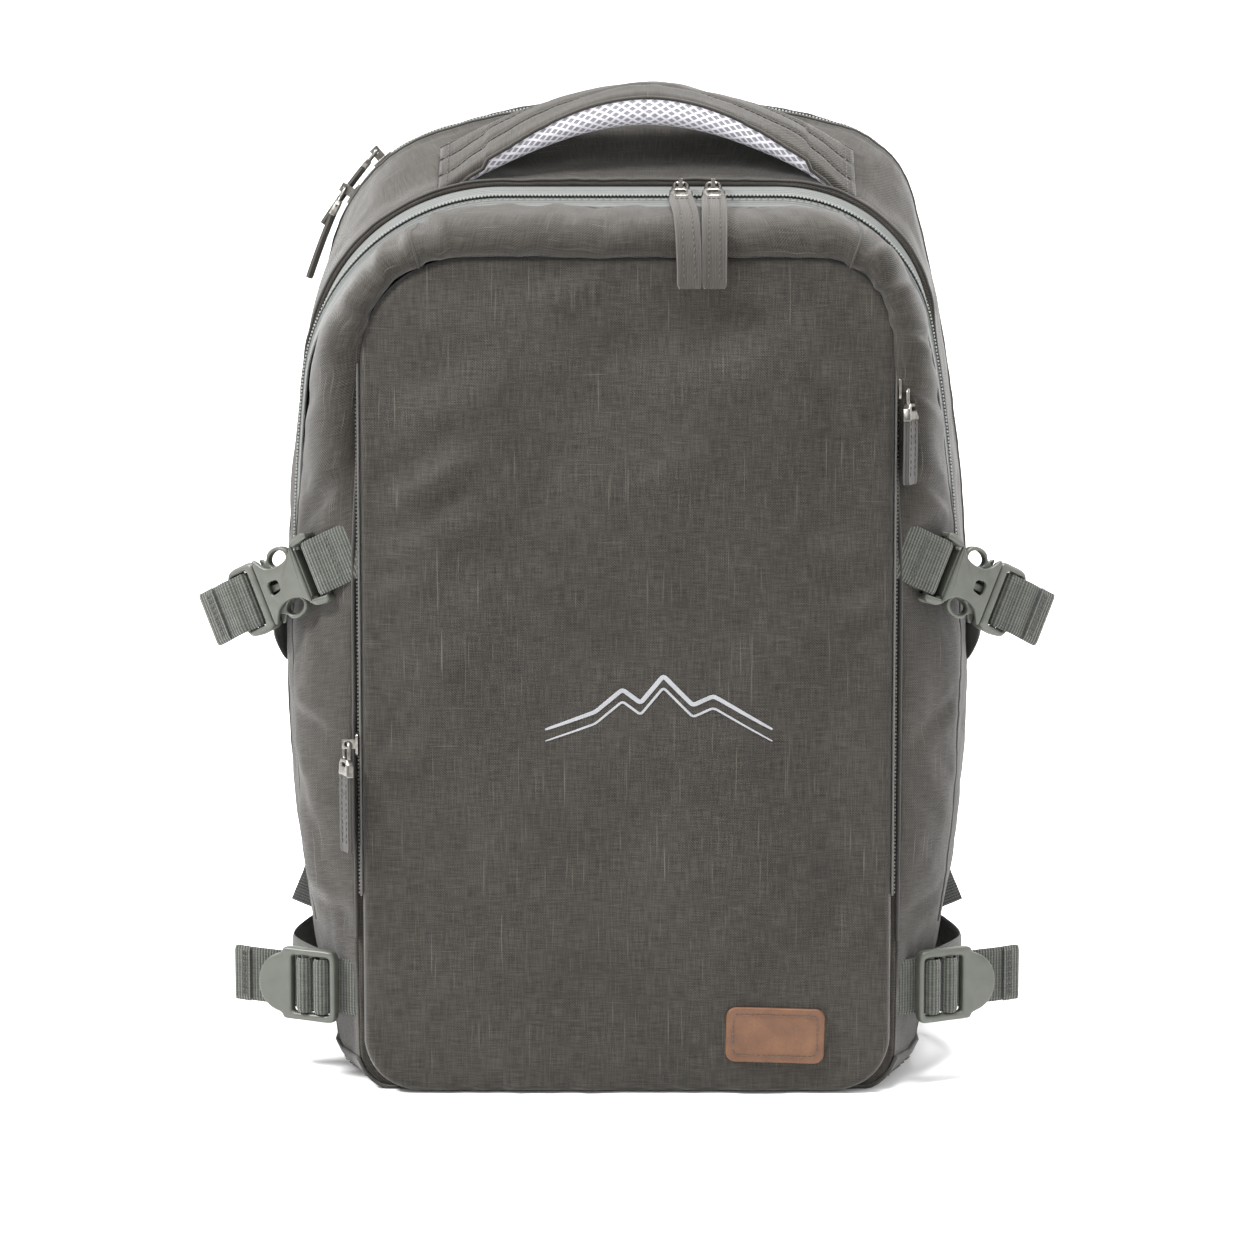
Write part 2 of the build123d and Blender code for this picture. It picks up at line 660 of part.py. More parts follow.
def shoulder_strap():
    """Right padded strap: a curved outline cut from a band that bows away from the back."""
    top_z = roof_height - strap_top_drop
    corners = [(strap_top_edges[0], top_z), (strap_low_edges[0], strap_low_z)]
    corners += [(strap_low_edges[1], strap_low_z), (strap_top_edges[1], top_z)]
    inner = ThreePointArc(corners[0], strap_bends[0], corners[1])
    outer = ThreePointArc(corners[2], strap_bends[1], corners[3])
    outline = make_face([inner, Line(corners[1], corners[2]), outer, Line(corners[3], corners[0])])
    heights = (top_z, strap_bow_z, strap_low_z)
    faces = []
    for room in (pad_thick, pad_thick + strap_thick):
        faces.append([(back_face_y + room + bow, z) for bow, z in zip(strap_bow, heights)])
    near, far = faces
    ends = [Line(near[2], far[2]), Line(far[0], near[0])]
    band = make_face([ThreePointArc(*near), ends[0], ThreePointArc(*far[::-1]), ends[1]])
    across = extrude(Plane.YZ * band, amount=FAR / 2, both=True)
    return across & extrude(Plane.XZ * outline, amount=FAR, both=True)


def strap_bottom():
    """Right adjuster under the padded strap, the side tab, and the webbing in two heights."""
    end_y = back_face_y + pad_thick + strap_bow[2] + strap_thick / 2
    strap_end = Vector(sum(strap_low_edges) / 2, end_y, strap_low_z)
    bar_middle = strap_end + Vector(0, 0, -adjuster_room)
    hang = Plane(origin=bar_middle, x_dir=(adjuster_lean, 0, -1), z_dir=(0, 1, 0))
    tab_x = body_side(back_y - 0.1, tab_z + tab_root_half) + TOUCH
    corners = ((0, -tab_root_half), (0, tab_root_half), (tab_reach, tab_tip[1]), (tab_reach, tab_tip[0]))
    tab = extrude(make_face(Polyline(*corners, close=True)), amount=back_face_y - back_y)
    tab = Plane(origin=(tab_x, back_face_y, tab_z), x_dir=(1, 0, 0), z_dir=(0, -1, 0)) * tab
    low = Vector(tab_x + 14, back_face_y + 1.3, tab_z - 2)
    bend = Vector(tab_x - 1, back_face_y + 1.9, split_height)
    high = Vector(strap_end.X + 6, strap_end.Y - 8, strap_end.Z - 16)
    lean = Vector(0, 1, 0)
    lower = run_between(low, bend + (bend - low) * 0.4, lean) & slab(0, FAR, 0, bucket_top)
    upper = run_between(bend - (high - bend) * 0.2, high, lean) & slab(0, FAR, lid_low, FAR)
    return {
        "adjuster": hang * ladder_lock(),
        "strap_tab": Compound(children=[*tab.solids(), *lower.solids()]),
        "shoulder_webbing": upper,
    }


def laptop_sleeve():
    """Padded sleeve on the inside of the back panel: a front sheet on three thin walls, open at the top."""
    low, high = split_height + sleeve_lift, back_outline.left - sleeve_drop
    rear = back_y - TOUCH
    middle_z = (low + high) / 2
    outer = Pos(0, rear - sleeve_depth / 2, middle_z) * Box(sleeve_width, sleeve_depth, high - low)
    hollow = Pos(0, rear - (sleeve_depth - sleeve_thick) / 2, middle_z + sleeve_thick) * Box(
        sleeve_width - 2 * sleeve_thick, sleeve_depth - sleeve_thick, high - low
    )
    return outer - hollow


def grab_handle(body):
    """The padded carry handle, along X over the middle roof: flat on it at both ends, arched between."""
    y_front = front_zip_rear + 2
    y_rear = y_front + handle_width

    def roof(x, y):
        """Height of the roof under a point."""
        hits = body.find_intersection_points(Axis((x, y, FAR), (0, 0, -1)))
        return max(point.Z for point, _ in hits)

    def section(share):
        """One four-cornered section at a share of the half length."""
        x = handle_centre_x + share * handle_half_length
        rise = 1 - share * share
        thick = handle_end_thick + (handle_thick - handle_end_thick) * rise
        rear = roof(x, y_rear) + 2 * TOUCH + handle_lift * rise
        flat = roof(x, y_front) + 2 * TOUCH
        front = flat + (rear - handle_tilt - flat) * rise
        corners = [(y_front, front), (y_rear, rear)]
        corners += [(y_rear, rear + thick), (y_front, front + thick + 2 * rise)]
        return Plane.YZ.offset(x) * make_face(Polyline(*corners, close=True))

    return loft([section(step / 4) for step in range(-4, 5)], ruled=True)


def export_all(nodes):
    """Writes each node to its own STEP file."""
    for name, shape in nodes.items():
        solids = list(shape.solids())
        whole = Compound(children=solids) if len(solids) > 1 else solids[0]
        export_step(whole, f"parts/{name}.step")


def main():
    nodes = {}
    nodes.update(body_panels())
    nodes.update(pocket_parts())
    nodes["leather_patch"] = patch()
    for parts in (compression_strap(), lower_strap()):
        for name, shape in parts.items():
            nodes[f"{name}_left"] = shape
            nodes[f"{name}_right"] = mirror(shape, about=Plane.YZ)
    nodes.update(front_zip_hardware())
    nodes.update(rear_zip_hardware())
    nodes.update(pocket_zip_hardware())
    nodes["back_pads"] = back_pads()
    nodes["laptop_sleeve"] = laptop_sleeve()
    right = {"shoulder_strap": shoulder_strap(), **strap_bottom()}
    for name, shape in right.items():
        nodes[f"{name}_right"] = shape
        nodes[f"{name}_left"] = mirror(shape, about=Plane.YZ)
    nodes["grab_handle"] = grab_handle(body_loft(0))
    export_all(nodes)
    print(len(nodes), "nodes")


main()
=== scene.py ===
import json
import math

import bmesh
import bpy
import numpy as np
from mathutils import Matrix, Vector
from mathutils.geometry import delaunay_2d_cdt


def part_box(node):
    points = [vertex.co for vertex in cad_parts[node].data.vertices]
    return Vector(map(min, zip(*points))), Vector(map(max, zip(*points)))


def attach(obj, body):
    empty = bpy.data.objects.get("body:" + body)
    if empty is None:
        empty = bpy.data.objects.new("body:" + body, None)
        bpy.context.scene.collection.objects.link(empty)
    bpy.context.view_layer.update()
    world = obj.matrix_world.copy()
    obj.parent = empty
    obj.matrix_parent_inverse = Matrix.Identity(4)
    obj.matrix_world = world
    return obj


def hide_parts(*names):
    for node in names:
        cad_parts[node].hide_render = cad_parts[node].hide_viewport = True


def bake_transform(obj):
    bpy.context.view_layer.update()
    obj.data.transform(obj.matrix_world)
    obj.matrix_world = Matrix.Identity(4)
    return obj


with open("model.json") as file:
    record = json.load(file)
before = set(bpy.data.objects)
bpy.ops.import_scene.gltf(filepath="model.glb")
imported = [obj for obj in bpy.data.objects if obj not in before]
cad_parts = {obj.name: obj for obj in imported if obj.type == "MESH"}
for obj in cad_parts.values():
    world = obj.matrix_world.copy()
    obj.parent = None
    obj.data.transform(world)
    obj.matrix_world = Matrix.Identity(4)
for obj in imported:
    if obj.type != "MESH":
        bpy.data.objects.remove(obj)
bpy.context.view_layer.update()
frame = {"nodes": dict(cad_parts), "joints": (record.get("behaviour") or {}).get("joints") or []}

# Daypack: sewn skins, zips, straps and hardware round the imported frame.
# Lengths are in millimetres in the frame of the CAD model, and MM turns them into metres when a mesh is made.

MM = 0.001
joints = {j["name"]: j for j in frame["joints"]}


def low(node):
    return np.array(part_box(node)[0]) / MM


def high(node):
    return np.array(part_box(node)[1]) / MM


# ---- places taken from the CAD model -------------------------------------------------------
EDGE_Y = low("front_gusset")[1]
FRONT_ZIP_FRONT = high("front_gusset")[1]
FRONT_ZIP_REAR = low("mid_gusset")[1]
REAR_ZIP_FRONT = high("mid_gusset")[1]
REAR_ZIP_REAR = low("rear_gusset")[1]
BACK_Y = high("rear_gusset")[1]
BACK_FACE_Y = high("back_panel")[1]
FACE_Y = low("front_face")[1]
POCKET_Y = low("front_pocket")[1]
POCKET_HALF = high("front_pocket")[0]
POCKET_TOP = high("front_pocket")[2]
POCKET_LOW = low("front_pocket_lower")[2]
LID_LOW = low("front_gusset")[2]
SPLIT = LID_LOW - 0.8
FRONT_ZIP_Y = (FRONT_ZIP_FRONT + FRONT_ZIP_REAR) / 2
REAR_ZIP_Y = (REAR_ZIP_FRONT + REAR_ZIP_REAR) / 2
HALF_WIDTH = high("mid_gusset")[0]
EDGE_TOP = high("front_face")[2]
FRONT_TOP = high("front_gusset")[2]
WIDEST = 190.0
BASE_RADIUS = 18.0


# ---- numbers and curves --------------------------------------------------------------------


def smooth(x, a, b):
    """0 below a, 1 above b, and a soft step between."""
    t = np.clip((np.asarray(x, float) - a) / (b - a), 0, 1)
    return t * t * (3 - 2 * t)


def unit(v):
    v = np.asarray(v, float)
    return v / np.maximum(np.linalg.norm(v, axis=-1, keepdims=True), 1e-12)


def value_noise(u, v, seed):
    """Smooth noise from -1 to 1 over two coordinates."""
    table = np.random.default_rng(seed).uniform(-1, 1, (64, 64))
    u, v = np.broadcast_arrays(np.asarray(u, float), np.asarray(v, float))
    iu, iv = np.floor(u).astype(int), np.floor(v).astype(int)
    fu, fv = u - iu, v - iv
    fu, fv = fu * fu * (3 - 2 * fu), fv * fv * (3 - 2 * fv)
    near = table[iu % 64, iv % 64] * (1 - fu) + table[(iu + 1) % 64, iv % 64] * fu
    far = table[iu % 64, (iv + 1) % 64] * (1 - fu) + table[(iu + 1) % 64, (iv + 1) % 64] * fu
    return near * (1 - fv) + far * fv


def layered_noise(u, v, size, seed, octaves=3):
    """Noise with finer and weaker layers on top; size is the width of the largest lumps."""
    total = np.zeros(np.broadcast(u, v).shape)
    for octave in range(octaves):
        total = total + value_noise(u / size * 2**octave, v / size * 2**octave, seed + octave) / 2**octave
    return total


def fold(u, v, start, end, width, depth, bend=0.0):
    """A soft crease from start to end: a ridge with a hollow beside it, faded out at both ends."""
    (u0, v0), (u1, v1) = start, end
    length = math.hypot(u1 - u0, v1 - v0)
    du, dv = (u1 - u0) / length, (v1 - v0) / length
    along = ((u - u0) * du + (v - v0) * dv) / length
    inside = np.clip(along, 0, 1)
    across = ((v - v0) * du - (u - u0) * dv - bend * np.sin(np.pi * inside)) / width
    fade = np.sin(np.pi * inside) ** 0.8
    return depth * fade * (np.exp(-across * across) - 0.55 * np.exp(-((across - 1.7) ** 2)))


def spline(points, step):
    """Catmull-Rom curve through points, resampled to about the given step."""
    p = np.array(points, float)
    ext = np.vstack([2 * p[0] - p[1], p, 2 * p[-1] - p[-2]])
    t = np.linspace(0, 1, 24, endpoint=False)[:, None]
    parts = []
    for a, b, c, d in zip(ext, ext[1:], ext[2:], ext[3:]):
        parts.append(0.5 * (2 * b + (c - a) * t + (2 * a - 5 * b + 4 * c - d) * t**2
            + (3 * b - a - 3 * c + d) * t**3))
    curve = np.vstack([*parts, p[-1:]])
    return resample(curve, step)


def arc_lengths(curve):
    return np.concatenate([[0], np.cumsum(np.linalg.norm(np.diff(curve, axis=0), axis=1))])


def resample(curve, step, count=None):
    """Even points along a polyline."""
    s = arc_lengths(curve)
    n = count or max(2, int(round(s[-1] / step)) + 1)
    even = np.linspace(0, s[-1], n)
    return np.stack([np.interp(even, s, curve[:, k]) for k in range(curve.shape[1])], axis=1)


def rounded_loop(corners, radii, count=8):
    """A closed polygon with each corner rounded by its own radius."""
    pts = np.array(corners, float)
    n = len(pts)
    radii = [radii] * n if np.isscalar(radii) else radii
    loop = []
    for k in range(n):
        here, back, ahead = pts[k], pts[k - 1], pts[(k + 1) % n]
        a, b = unit(back - here), unit(ahead - here)
        angle = math.acos(max(-1.0, min(1.0, float(a @ b))))
        cut = min(radii[k] / math.tan(angle / 2), 0.49 * np.linalg.norm(back - here),
            0.49 * np.linalg.norm(ahead - here))
        start, end = here + a * cut, here + b * cut
        for t in np.linspace(0, 1, count):
            loop.append((1 - t) ** 2 * start + 2 * t * (1 - t) * (here * 0.72 + (start + end) * 0.14)
                + t**2 * end)
    return np.array(loop)


# ---- body outlines -------------------------------------------------------------------------
BOTTOM_COUNT, FOOT_COUNT, SIDE_COUNT, SHOULDER_COUNT, TOP_COUNT = 8, 8, 130, 36, 110
FLAT = 1e6  # radius of an edge that is practically straight


def circle_through(p, q, r):
    (x1, z1), (x2, z2), (x3, z3) = p, q, r
    a, b, c = x1 * x1 + z1 * z1, x2 * x2 + z2 * z2, x3 * x3 + z3 * z3
    d = 2 * (x1 * (z2 - z3) + x2 * (z3 - z1) + x3 * (z1 - z2))
    centre = np.array([a * (z2 - z3) + b * (z3 - z1) + c * (z1 - z2),
        a * (x3 - x2) + b * (x1 - x3) + c * (x2 - x1)]) / d
    return centre, float(np.linalg.norm(centre - np.array(p)))


def circles_meet(c0, r0, c1, r1, near):
    gap = c1 - c0
    d = np.linalg.norm(gap)
    a = (r0 * r0 - r1 * r1 + d * d) / (2 * d)
    h = math.sqrt(max(r0 * r0 - a * a, 0))
    foot, side = c0 + gap / d * a, np.array([-gap[1], gap[0]]) / d * h
    return min((foot + side, foot - side), key=lambda p: np.linalg.norm(p - near))


class Outline:
    """The body's section across Y, as the CAD model defines it: four arcs with rounded corners."""

    def __init__(self, base, middle, top_left, top_right, left, right, crown, radius_left, radius_right):
        self.sizes = base, middle, top_left, top_right, left, right, crown, radius_left, radius_right

    def points(self, inset=0.0):
        """Evenly shared points from the bottom's middle up the right side, over the top and down the left."""
        base, middle, top_left, top_right, left, right, crown, radius_left, radius_right = self.sizes
        bl, br = np.array([-base + inset, inset]), np.array([base - inset, inset])
        tr, tl = np.array([top_right - inset, right - inset]), np.array([-top_left + inset, left - inset])
        top_mid = (tl + tr) / 2
        if crown:
            top = circle_through(tr, top_mid + [0, crown], tl)
        else:
            top = top_mid - [0, FLAT], FLAT
        bottom = np.array([0, inset + FLAT]), FLAT
        right_arc = circle_through(br, (middle - inset, WIDEST), tr)
        left_arc = circle_through(tl, (-middle + inset, WIDEST), bl)

        def corner(first, second, radius, at):
            centre = circles_meet(first[0], first[1] - radius, second[0], second[1] - radius, at)
            return centre, first[0] + unit(centre - first[0]) * first[1], second[0] + unit(centre
                - second[0]) * second[1]

        foot, r_left, r_right = BASE_RADIUS - inset, radius_left - inset, radius_right - inset
        corners = [
            corner(bottom, right_arc, foot, br),
            corner(right_arc, top, r_right, tr),
            corner(top, left_arc, r_left, tl),
            corner(left_arc, bottom, foot, bl),
        ]

        def arc(centre, start, end, count):
            a0, a1 = (math.atan2(*(p - centre)[::-1]) for p in (start, end))
            a1 += 2 * math.pi * round((a0 - a1) / (2 * math.pi))
            angles = np.linspace(a0, a1, count, endpoint=False)
            return centre + np.linalg.norm(start - centre) * np.stack([np.cos(angles), np.sin(angles)],
                axis=1)

        (c1, a1, b1), (c2, a2, b2), (c3, a3, b3), (c4, a4, b4) = corners
        start = np.array([0, inset])
        return np.vstack([
            arc(bottom[0], start, a1, BOTTOM_COUNT), arc(c1, a1, b1, FOOT_COUNT),
            arc(right_arc[0], b1, a2, SIDE_COUNT),
            arc(c2, a2, b2, SHOULDER_COUNT), arc(top[0], b2, a3, TOP_COUNT),
            arc(c3, a3, b3, SHOULDER_COUNT),
            arc(left_arc[0], b3, a4, SIDE_COUNT), arc(c4, a4, b4, FOOT_COUNT),
            arc(bottom[0], b4, start, BOTTOM_COUNT),
            start[None],
        ])


edge_outline = Outline(
    HALF_WIDTH - 38, HALF_WIDTH - 37, HALF_WIDTH - 38, HALF_WIDTH - 38, EDGE_TOP, EDGE_TOP, 0, 44, 36
).points()
front_outline = Outline(
    HALF_WIDTH - 29, HALF_WIDTH - 8, HALF_WIDTH - 24, HALF_WIDTH - 34, FRONT_TOP, FRONT_TOP, 0, 90, 70
).points()
REAR_LEFT = EDGE_TOP + 32
rear_outline = Outline(
    HALF_WIDTH - 24, HALF_WIDTH, HALF_WIDTH - 34, HALF_WIDTH - 34, REAR_LEFT, REAR_LEFT + 8, 24, 70, 46
).points()
back_outline = Outline(
    HALF_WIDTH - 30, HALF_WIDTH - 8, HALF_WIDTH - 41, HALF_WIDTH - 41, REAR_LEFT - 8, REAR_LEFT, 20, 66, 44
).points()
STATIONS = [
    (EDGE_Y, edge_outline), (FRONT_ZIP_FRONT, front_outline), (FRONT_ZIP_REAR, front_outline),
    (REAR_ZIP_FRONT, rear_outline), (REAR_ZIP_REAR, rear_outline), (BACK_Y, back_outline),
]
COUNT = len(edge_outline)


def outward(loop):
    """Outward unit normals of a closed outline that runs anticlockwise."""
    ring = loop[:-1]
    t = np.roll(ring, -1, axis=0) - np.roll(ring, 1, axis=0)
    n = unit(np.stack([t[:, 1], -t[:, 0]], axis=1))
    return np.vstack([n, n[:1]])


def ring_at(y):
    """The body's outline at depth y."""
    y = min(max(y, STATIONS[0][0]), STATIONS[-1][0])
    for (y0, first), (y1, second) in zip(STATIONS, STATIONS[1:]):
        if y <= y1:
            t = (y - y0) / (y1 - y0)
            return first * (1 - t) + second * t


def side_x(y, z):
    """Half width of the body at depth y and height z, on the left."""
    ring = ring_at(y)
    left = ring[COUNT // 2:]
    order = np.argsort(left[:, 1])
    mask = left[order][:, 0] < -60
    return -float(np.interp(z, left[order][mask][:, 1], left[order][mask][:, 0]))


# ---- meshes --------------------------------------------------------------------------------


class Sewing:
    """Collects grids and triangles with weave coordinates, and makes one object of them."""

    def __init__(self):
        self.points, self.faces, self.weave, self.count = [], [], [], 0

    def add(self, points, faces, weave):
        points, weave = np.asarray(points, float).reshape(-1, 3), np.asarray(weave, float).reshape(-1, 2)
        self.points.append(points)
        self.weave.append(weave)
        self.faces += [tuple(int(i) + self.count for i in f) for f in faces]
        self.count += len(points)

    def grid(self, points, weave=None, turn=False, closed=False):
        """Quads over a rows-by-columns array; closed joins the last column to the first."""
        rows, columns = points.shape[:2]
        weave = grid_weave(points) if weave is None else weave
        index = np.arange(rows * columns).reshape(rows, columns)
        if closed:
            index = np.hstack([index, index[:, :1]])
        a, b, c, d = index[:-1, :-1], index[:-1, 1:], index[1:, 1:], index[1:, :-1]
        order = (a, d, c, b) if turn else (a, b, c, d)
        self.add(points, np.stack([k.ravel() for k in order], axis=1), weave)

    def make(self, name, materials, merge=0.0, smooth_angle=None):
        points, weave = np.vstack(self.points), np.vstack(self.weave)
        mesh = bpy.data.meshes.new(name)
        mesh.from_pydata((points * MM).tolist(), [], self.faces)
        corner = np.empty(len(mesh.loops), np.int32)
        mesh.loops.foreach_get("vertex_index", corner)
        layer = mesh.uv_layers.new(name="weave")
        layer.data.foreach_set("uv", weave[corner].astype(np.float32).ravel())
        for material in materials if isinstance(materials, (list, tuple)) else [materials]:
            mesh.materials.append(material)
        if merge:
            work = bmesh.new()
            work.from_mesh(mesh)
            bmesh.ops.remove_doubles(work, verts=work.verts, dist=merge * MM)
            work.to_mesh(mesh)
            work.free()
        mesh.polygons.foreach_set("use_smooth", np.ones(len(mesh.polygons), bool))
        obj = bpy.data.objects.new(name, mesh)
        bpy.context.scene.collection.objects.link(obj)
        if smooth_angle:
            sharpen(obj, smooth_angle)
        return obj


def grid_weave(points):
    """Weave coordinates in millimetres: across the rows, then along the columns."""
    across = np.concatenate([[0], np.cumsum(np.linalg.norm(np.diff(points, axis=0), axis=2).mean(axis=1))])
    along = arc_lengths(points[len(points) // 2])
    return np.stack(np.meshgrid(across, along, indexing="ij"), axis=2)


def sharpen(obj, degrees):
    """Keeps edges steeper than the angle sharp and shades the rest smooth."""
    mesh = obj.data
    work = bmesh.new()
    work.from_mesh(mesh)
    for edge in work.edges:
        edge.smooth = len(edge.link_faces) != 2 or edge.calc_face_angle(0) < math.radians(degrees)
    work.to_mesh(mesh)
    work.free()


def settle(obj):
    """Applies the object's modifiers to its mesh."""
    bpy.context.view_layer.update()
    made = bpy.data.meshes.new_from_object(obj.evaluated_get(bpy.context.evaluated_depsgraph_get()))
    obj.modifiers.clear()
    obj.data = made
    return obj


def thicken(obj, thick, lining=True):
    """Gives a fabric skin its thickness inwards; the inside takes the object's second material."""
    solid = obj.modifiers.new("thickness", "SOLIDIFY")
    solid.thickness, solid.offset = thick * MM, -1
    if lining and len(obj.data.materials) > 1:
        solid.material_offset = 1
    return settle(obj)


def strap_mesh(sewing, path, across, width, thick, edge=None, crown=None, widths=None):
    """A flat strap along a path: across is its width direction, edge thickens it near both borders."""
    path = np.asarray(path, float)
    along = unit(np.gradient(path, axis=0))
    across = np.broadcast_to(np.asarray(across, float), path.shape)
    across = unit(across - along * np.sum(across * along, axis=1, keepdims=True))
    normal = np.cross(along, across)
    s = np.linspace(-1, 1, 15)
    body = np.ones_like(s) if edge is None else 1 + edge * np.exp(-(((np.abs(s) - 0.78) / 0.16) ** 2))
    if crown is not None:
        body = body + crown * (1 - s * s)
    round_off = np.sqrt(np.clip(1 - np.clip((np.abs(s) - 0.9) / 0.1, 0, 1) ** 2, 0.05, 1))
    half = body * round_off * thick / 2
    loop = np.concatenate([np.stack([s, half], 1), np.stack([s[::-1], -half[::-1]], 1)])
    scale = (np.ones(len(path)) if widths is None else widths)[:, None, None]
    points = path[:, None] + across[:, None] * (loop[None, :, :1] * width / 2 * scale) + normal[:,
        None] * loop[None, :, 1:]
    length = arc_lengths(path)
    u = np.broadcast_to((loop[:, 0] * width / 2)[None], points.shape[:2])
    weave = np.stack([u, np.broadcast_to(length[:, None], points.shape[:2])], axis=2)
    sewing.grid(points, weave, closed=True)
    n = len(loop)
    for end, turn in ((0, True), (len(path) - 1, False)):
        cap = points[end]
        centre_weave = weave[end]
        faces = []
        for k in range(len(s) - 1):
            quad = (k, k + 1, n - 2 - k, n - 1 - k)
            faces.append(quad if turn else quad[::-1])
        sewing.add(cap, faces, centre_weave)


def strap(name, path, across, width, thick, material, **shape):
    sewing = Sewing()
    strap_mesh(sewing, path, across, width, thick, **shape)
    return sewing.make(name, material, merge=0.01, smooth_angle=50)


def tube_mesh(sewing, path, radius, sides=10, closed=False, flat=1.0, up=(0, 0, 1)):
    """A round cord along a path; flat squeezes it along its up direction."""
    path = np.asarray(path, float)
    if closed:
        along = unit(np.roll(path, -1, axis=0) - np.roll(path, 1, axis=0))
    else:
        along = unit(np.gradient(path, axis=0))
    up = np.broadcast_to(np.asarray(up, float), path.shape)
    side = unit(np.cross(along, up))
    top = np.cross(side, along)
    angles = np.linspace(0, 2 * math.pi, sides, endpoint=False)
    radius = np.broadcast_to(np.asarray(radius, float), (len(path),))[:, None, None]
    ring = side[:, None] * np.cos(angles)[None, :, None] + top[:, None] * np.sin(angles)[None, :,
        None] * flat
    points = path[:, None] + ring * radius
    if closed:
        points = np.concatenate([points, points[:1]])
        path = np.vstack([path, path[:1]])
    weave = np.stack(np.broadcast_arrays(angles[None] * 2.0, arc_lengths(path)[:, None]), axis=2)
    sewing.grid(points, weave, closed=True, turn=True)
    if not closed:
        index = np.arange(sides)
        sewing.add(points[0], [tuple(index)], weave[0])
        sewing.add(points[-1], [tuple(index[::-1])], weave[-1])


def tube(name, path, radius, material, **shape):
    sewing = Sewing()
    tube_mesh(sewing, path, radius, **shape)
    return sewing.make(name, material, merge=0.01, smooth_angle=60)


def stitch_mesh(sewing, path, normal, pitch=3.0, length=2.1, radius=0.28, lift=0.12):
    """Short thread stitches along a path, each dipping into the cloth at its ends."""
    curve = resample(np.asarray(path, float), 0.5)
    s = arc_lengths(curve)
    normals = np.broadcast_to(np.asarray(normal, float), np.asarray(path).shape)
    fine = resample(normals, None, count=len(curve)) if len(normals) == len(path) else normals
    for start in np.arange(0.4, s[-1] - length, pitch):
        t = start + np.linspace(0, length, 5)
        run = np.stack([np.interp(t, s, curve[:, k]) for k in range(3)], axis=1)
        up = unit(np.stack([np.interp(t, s, fine[:, k]) for k in range(3)], axis=1))
        rise = np.array([-0.5, 0.7, 1.0, 0.7, -0.5])[:, None] * radius + lift
        tube_mesh(sewing, run + up * rise, radius * np.array([0.6, 1, 1, 1, 0.6]), sides=6, up=up)


def flat_panel(border, spacing=3.2, rings=(0.5, 1.1, 1.9, 3.0, 4.4, 6.4)):
    """Triangles that fill a closed XZ border, ringed along it: its points, distances inwards and faces."""
    border = np.asarray(border, float)
    normal = outward(np.vstack([border, border[:1]]))[:-1]
    layers = [border] + [border - normal * d for d in rings]
    lo, hi = border.min(axis=0), border.max(axis=0)
    xs, zs = np.arange(lo[0], hi[0], spacing), np.arange(lo[1], hi[1], spacing * 0.866)
    x, z = np.meshgrid(xs, zs)
    x = x + (np.arange(len(zs)) % 2)[:, None] * spacing / 2
    grid = np.stack([x.ravel(), z.ravel()], axis=1)
    grid = grid[signed_depth(grid, border) > rings[-1] + spacing * 0.6]
    points = np.vstack(layers + [grid])
    n = len(border)
    edges = [(k, (k + 1) % n) for k in range(n)]
    out = delaunay_2d_cdt([Vector(p) for p in points], edges, [], 1, 1e-5)
    flat = np.array([tuple(v) for v in out[0]])
    return flat, np.maximum(signed_depth(flat, border), 0), [tuple(f) for f in out[2]]


def signed_depth(points, border):
    """How far each point lies inside a closed border; negative outside."""
    a, b = border, np.roll(border, -1, axis=0)
    d = b - a
    best = np.full(len(points), 1e9)
    inside = np.zeros(len(points), bool)
    for (ax, az), (dx, dz), bz in zip(a, d, b[:, 1]):
        t = np.clip(((points[:, 0] - ax) * dx + (points[:, 1] - az) * dz) / max(dx * dx + dz * dz, 1e-12),
            0, 1)
        best = np.minimum(best, np.hypot(points[:, 0] - ax - t * dx, points[:, 1] - az - t * dz))
        crosses = (az > points[:, 1]) != (bz > points[:, 1])
        if abs(dz) > 1e-12:
            inside ^= crosses & (points[:, 0] < dx * (points[:, 1] - az) / dz + ax)
    return np.where(inside, best, -best)


def plate_object(name, loops, thick, bevel, material, place, shape=None, segments=3):
    """A plate with holes from closed loops in its own plane, with rounded edges, put in place by a matrix."""
    curve = bpy.data.curves.new(name, "CURVE")
    curve.dimensions, curve.fill_mode = "2D", "BOTH"
    curve.extrude, curve.bevel_depth, curve.bevel_resolution = (thick / 2
        - bevel) * MM, bevel * MM, segments
    curve.offset = -bevel * MM
    for loop in loops:
        line = curve.splines.new("POLY")
        line.points.add(len(loop) - 1)
        for point, (u, v) in zip(line.points, loop):
            point.co = (u * MM, v * MM, 0, 1)
        line.use_cyclic_u = True
    draft = bpy.data.objects.new(name + "_draft", curve)
    bpy.context.scene.collection.objects.link(draft)
    bpy.context.view_layer.update()
    mesh = bpy.data.meshes.new_from_object(draft.evaluated_get(bpy.context.evaluated_depsgraph_get()))
    bpy.data.objects.remove(draft)
    bpy.data.curves.remove(curve)
    work = bmesh.new()
    work.from_mesh(mesh)
    bmesh.ops.remove_doubles(work, verts=work.verts, dist=0.02 * MM)
    work.to_mesh(mesh)
    work.free()
    points = np.empty(len(mesh.vertices) * 3)
    mesh.vertices.foreach_get("co", points)
    points = points.reshape(-1, 3) / MM
    if shape:
        points = shape(points)
    mesh.vertices.foreach_set("co", (points * MM).ravel())
    mesh.name = name
    mesh.materials.clear()
    mesh.materials.append(material)
    mesh.transform(place)
    mesh.update()
    mesh.polygons.foreach_set("use_smooth", np.ones(len(mesh.polygons), bool))
    obj = bpy.data.objects.new(name, mesh)
    bpy.context.scene.collection.objects.link(obj)
    sharpen(obj, 40)
    return obj


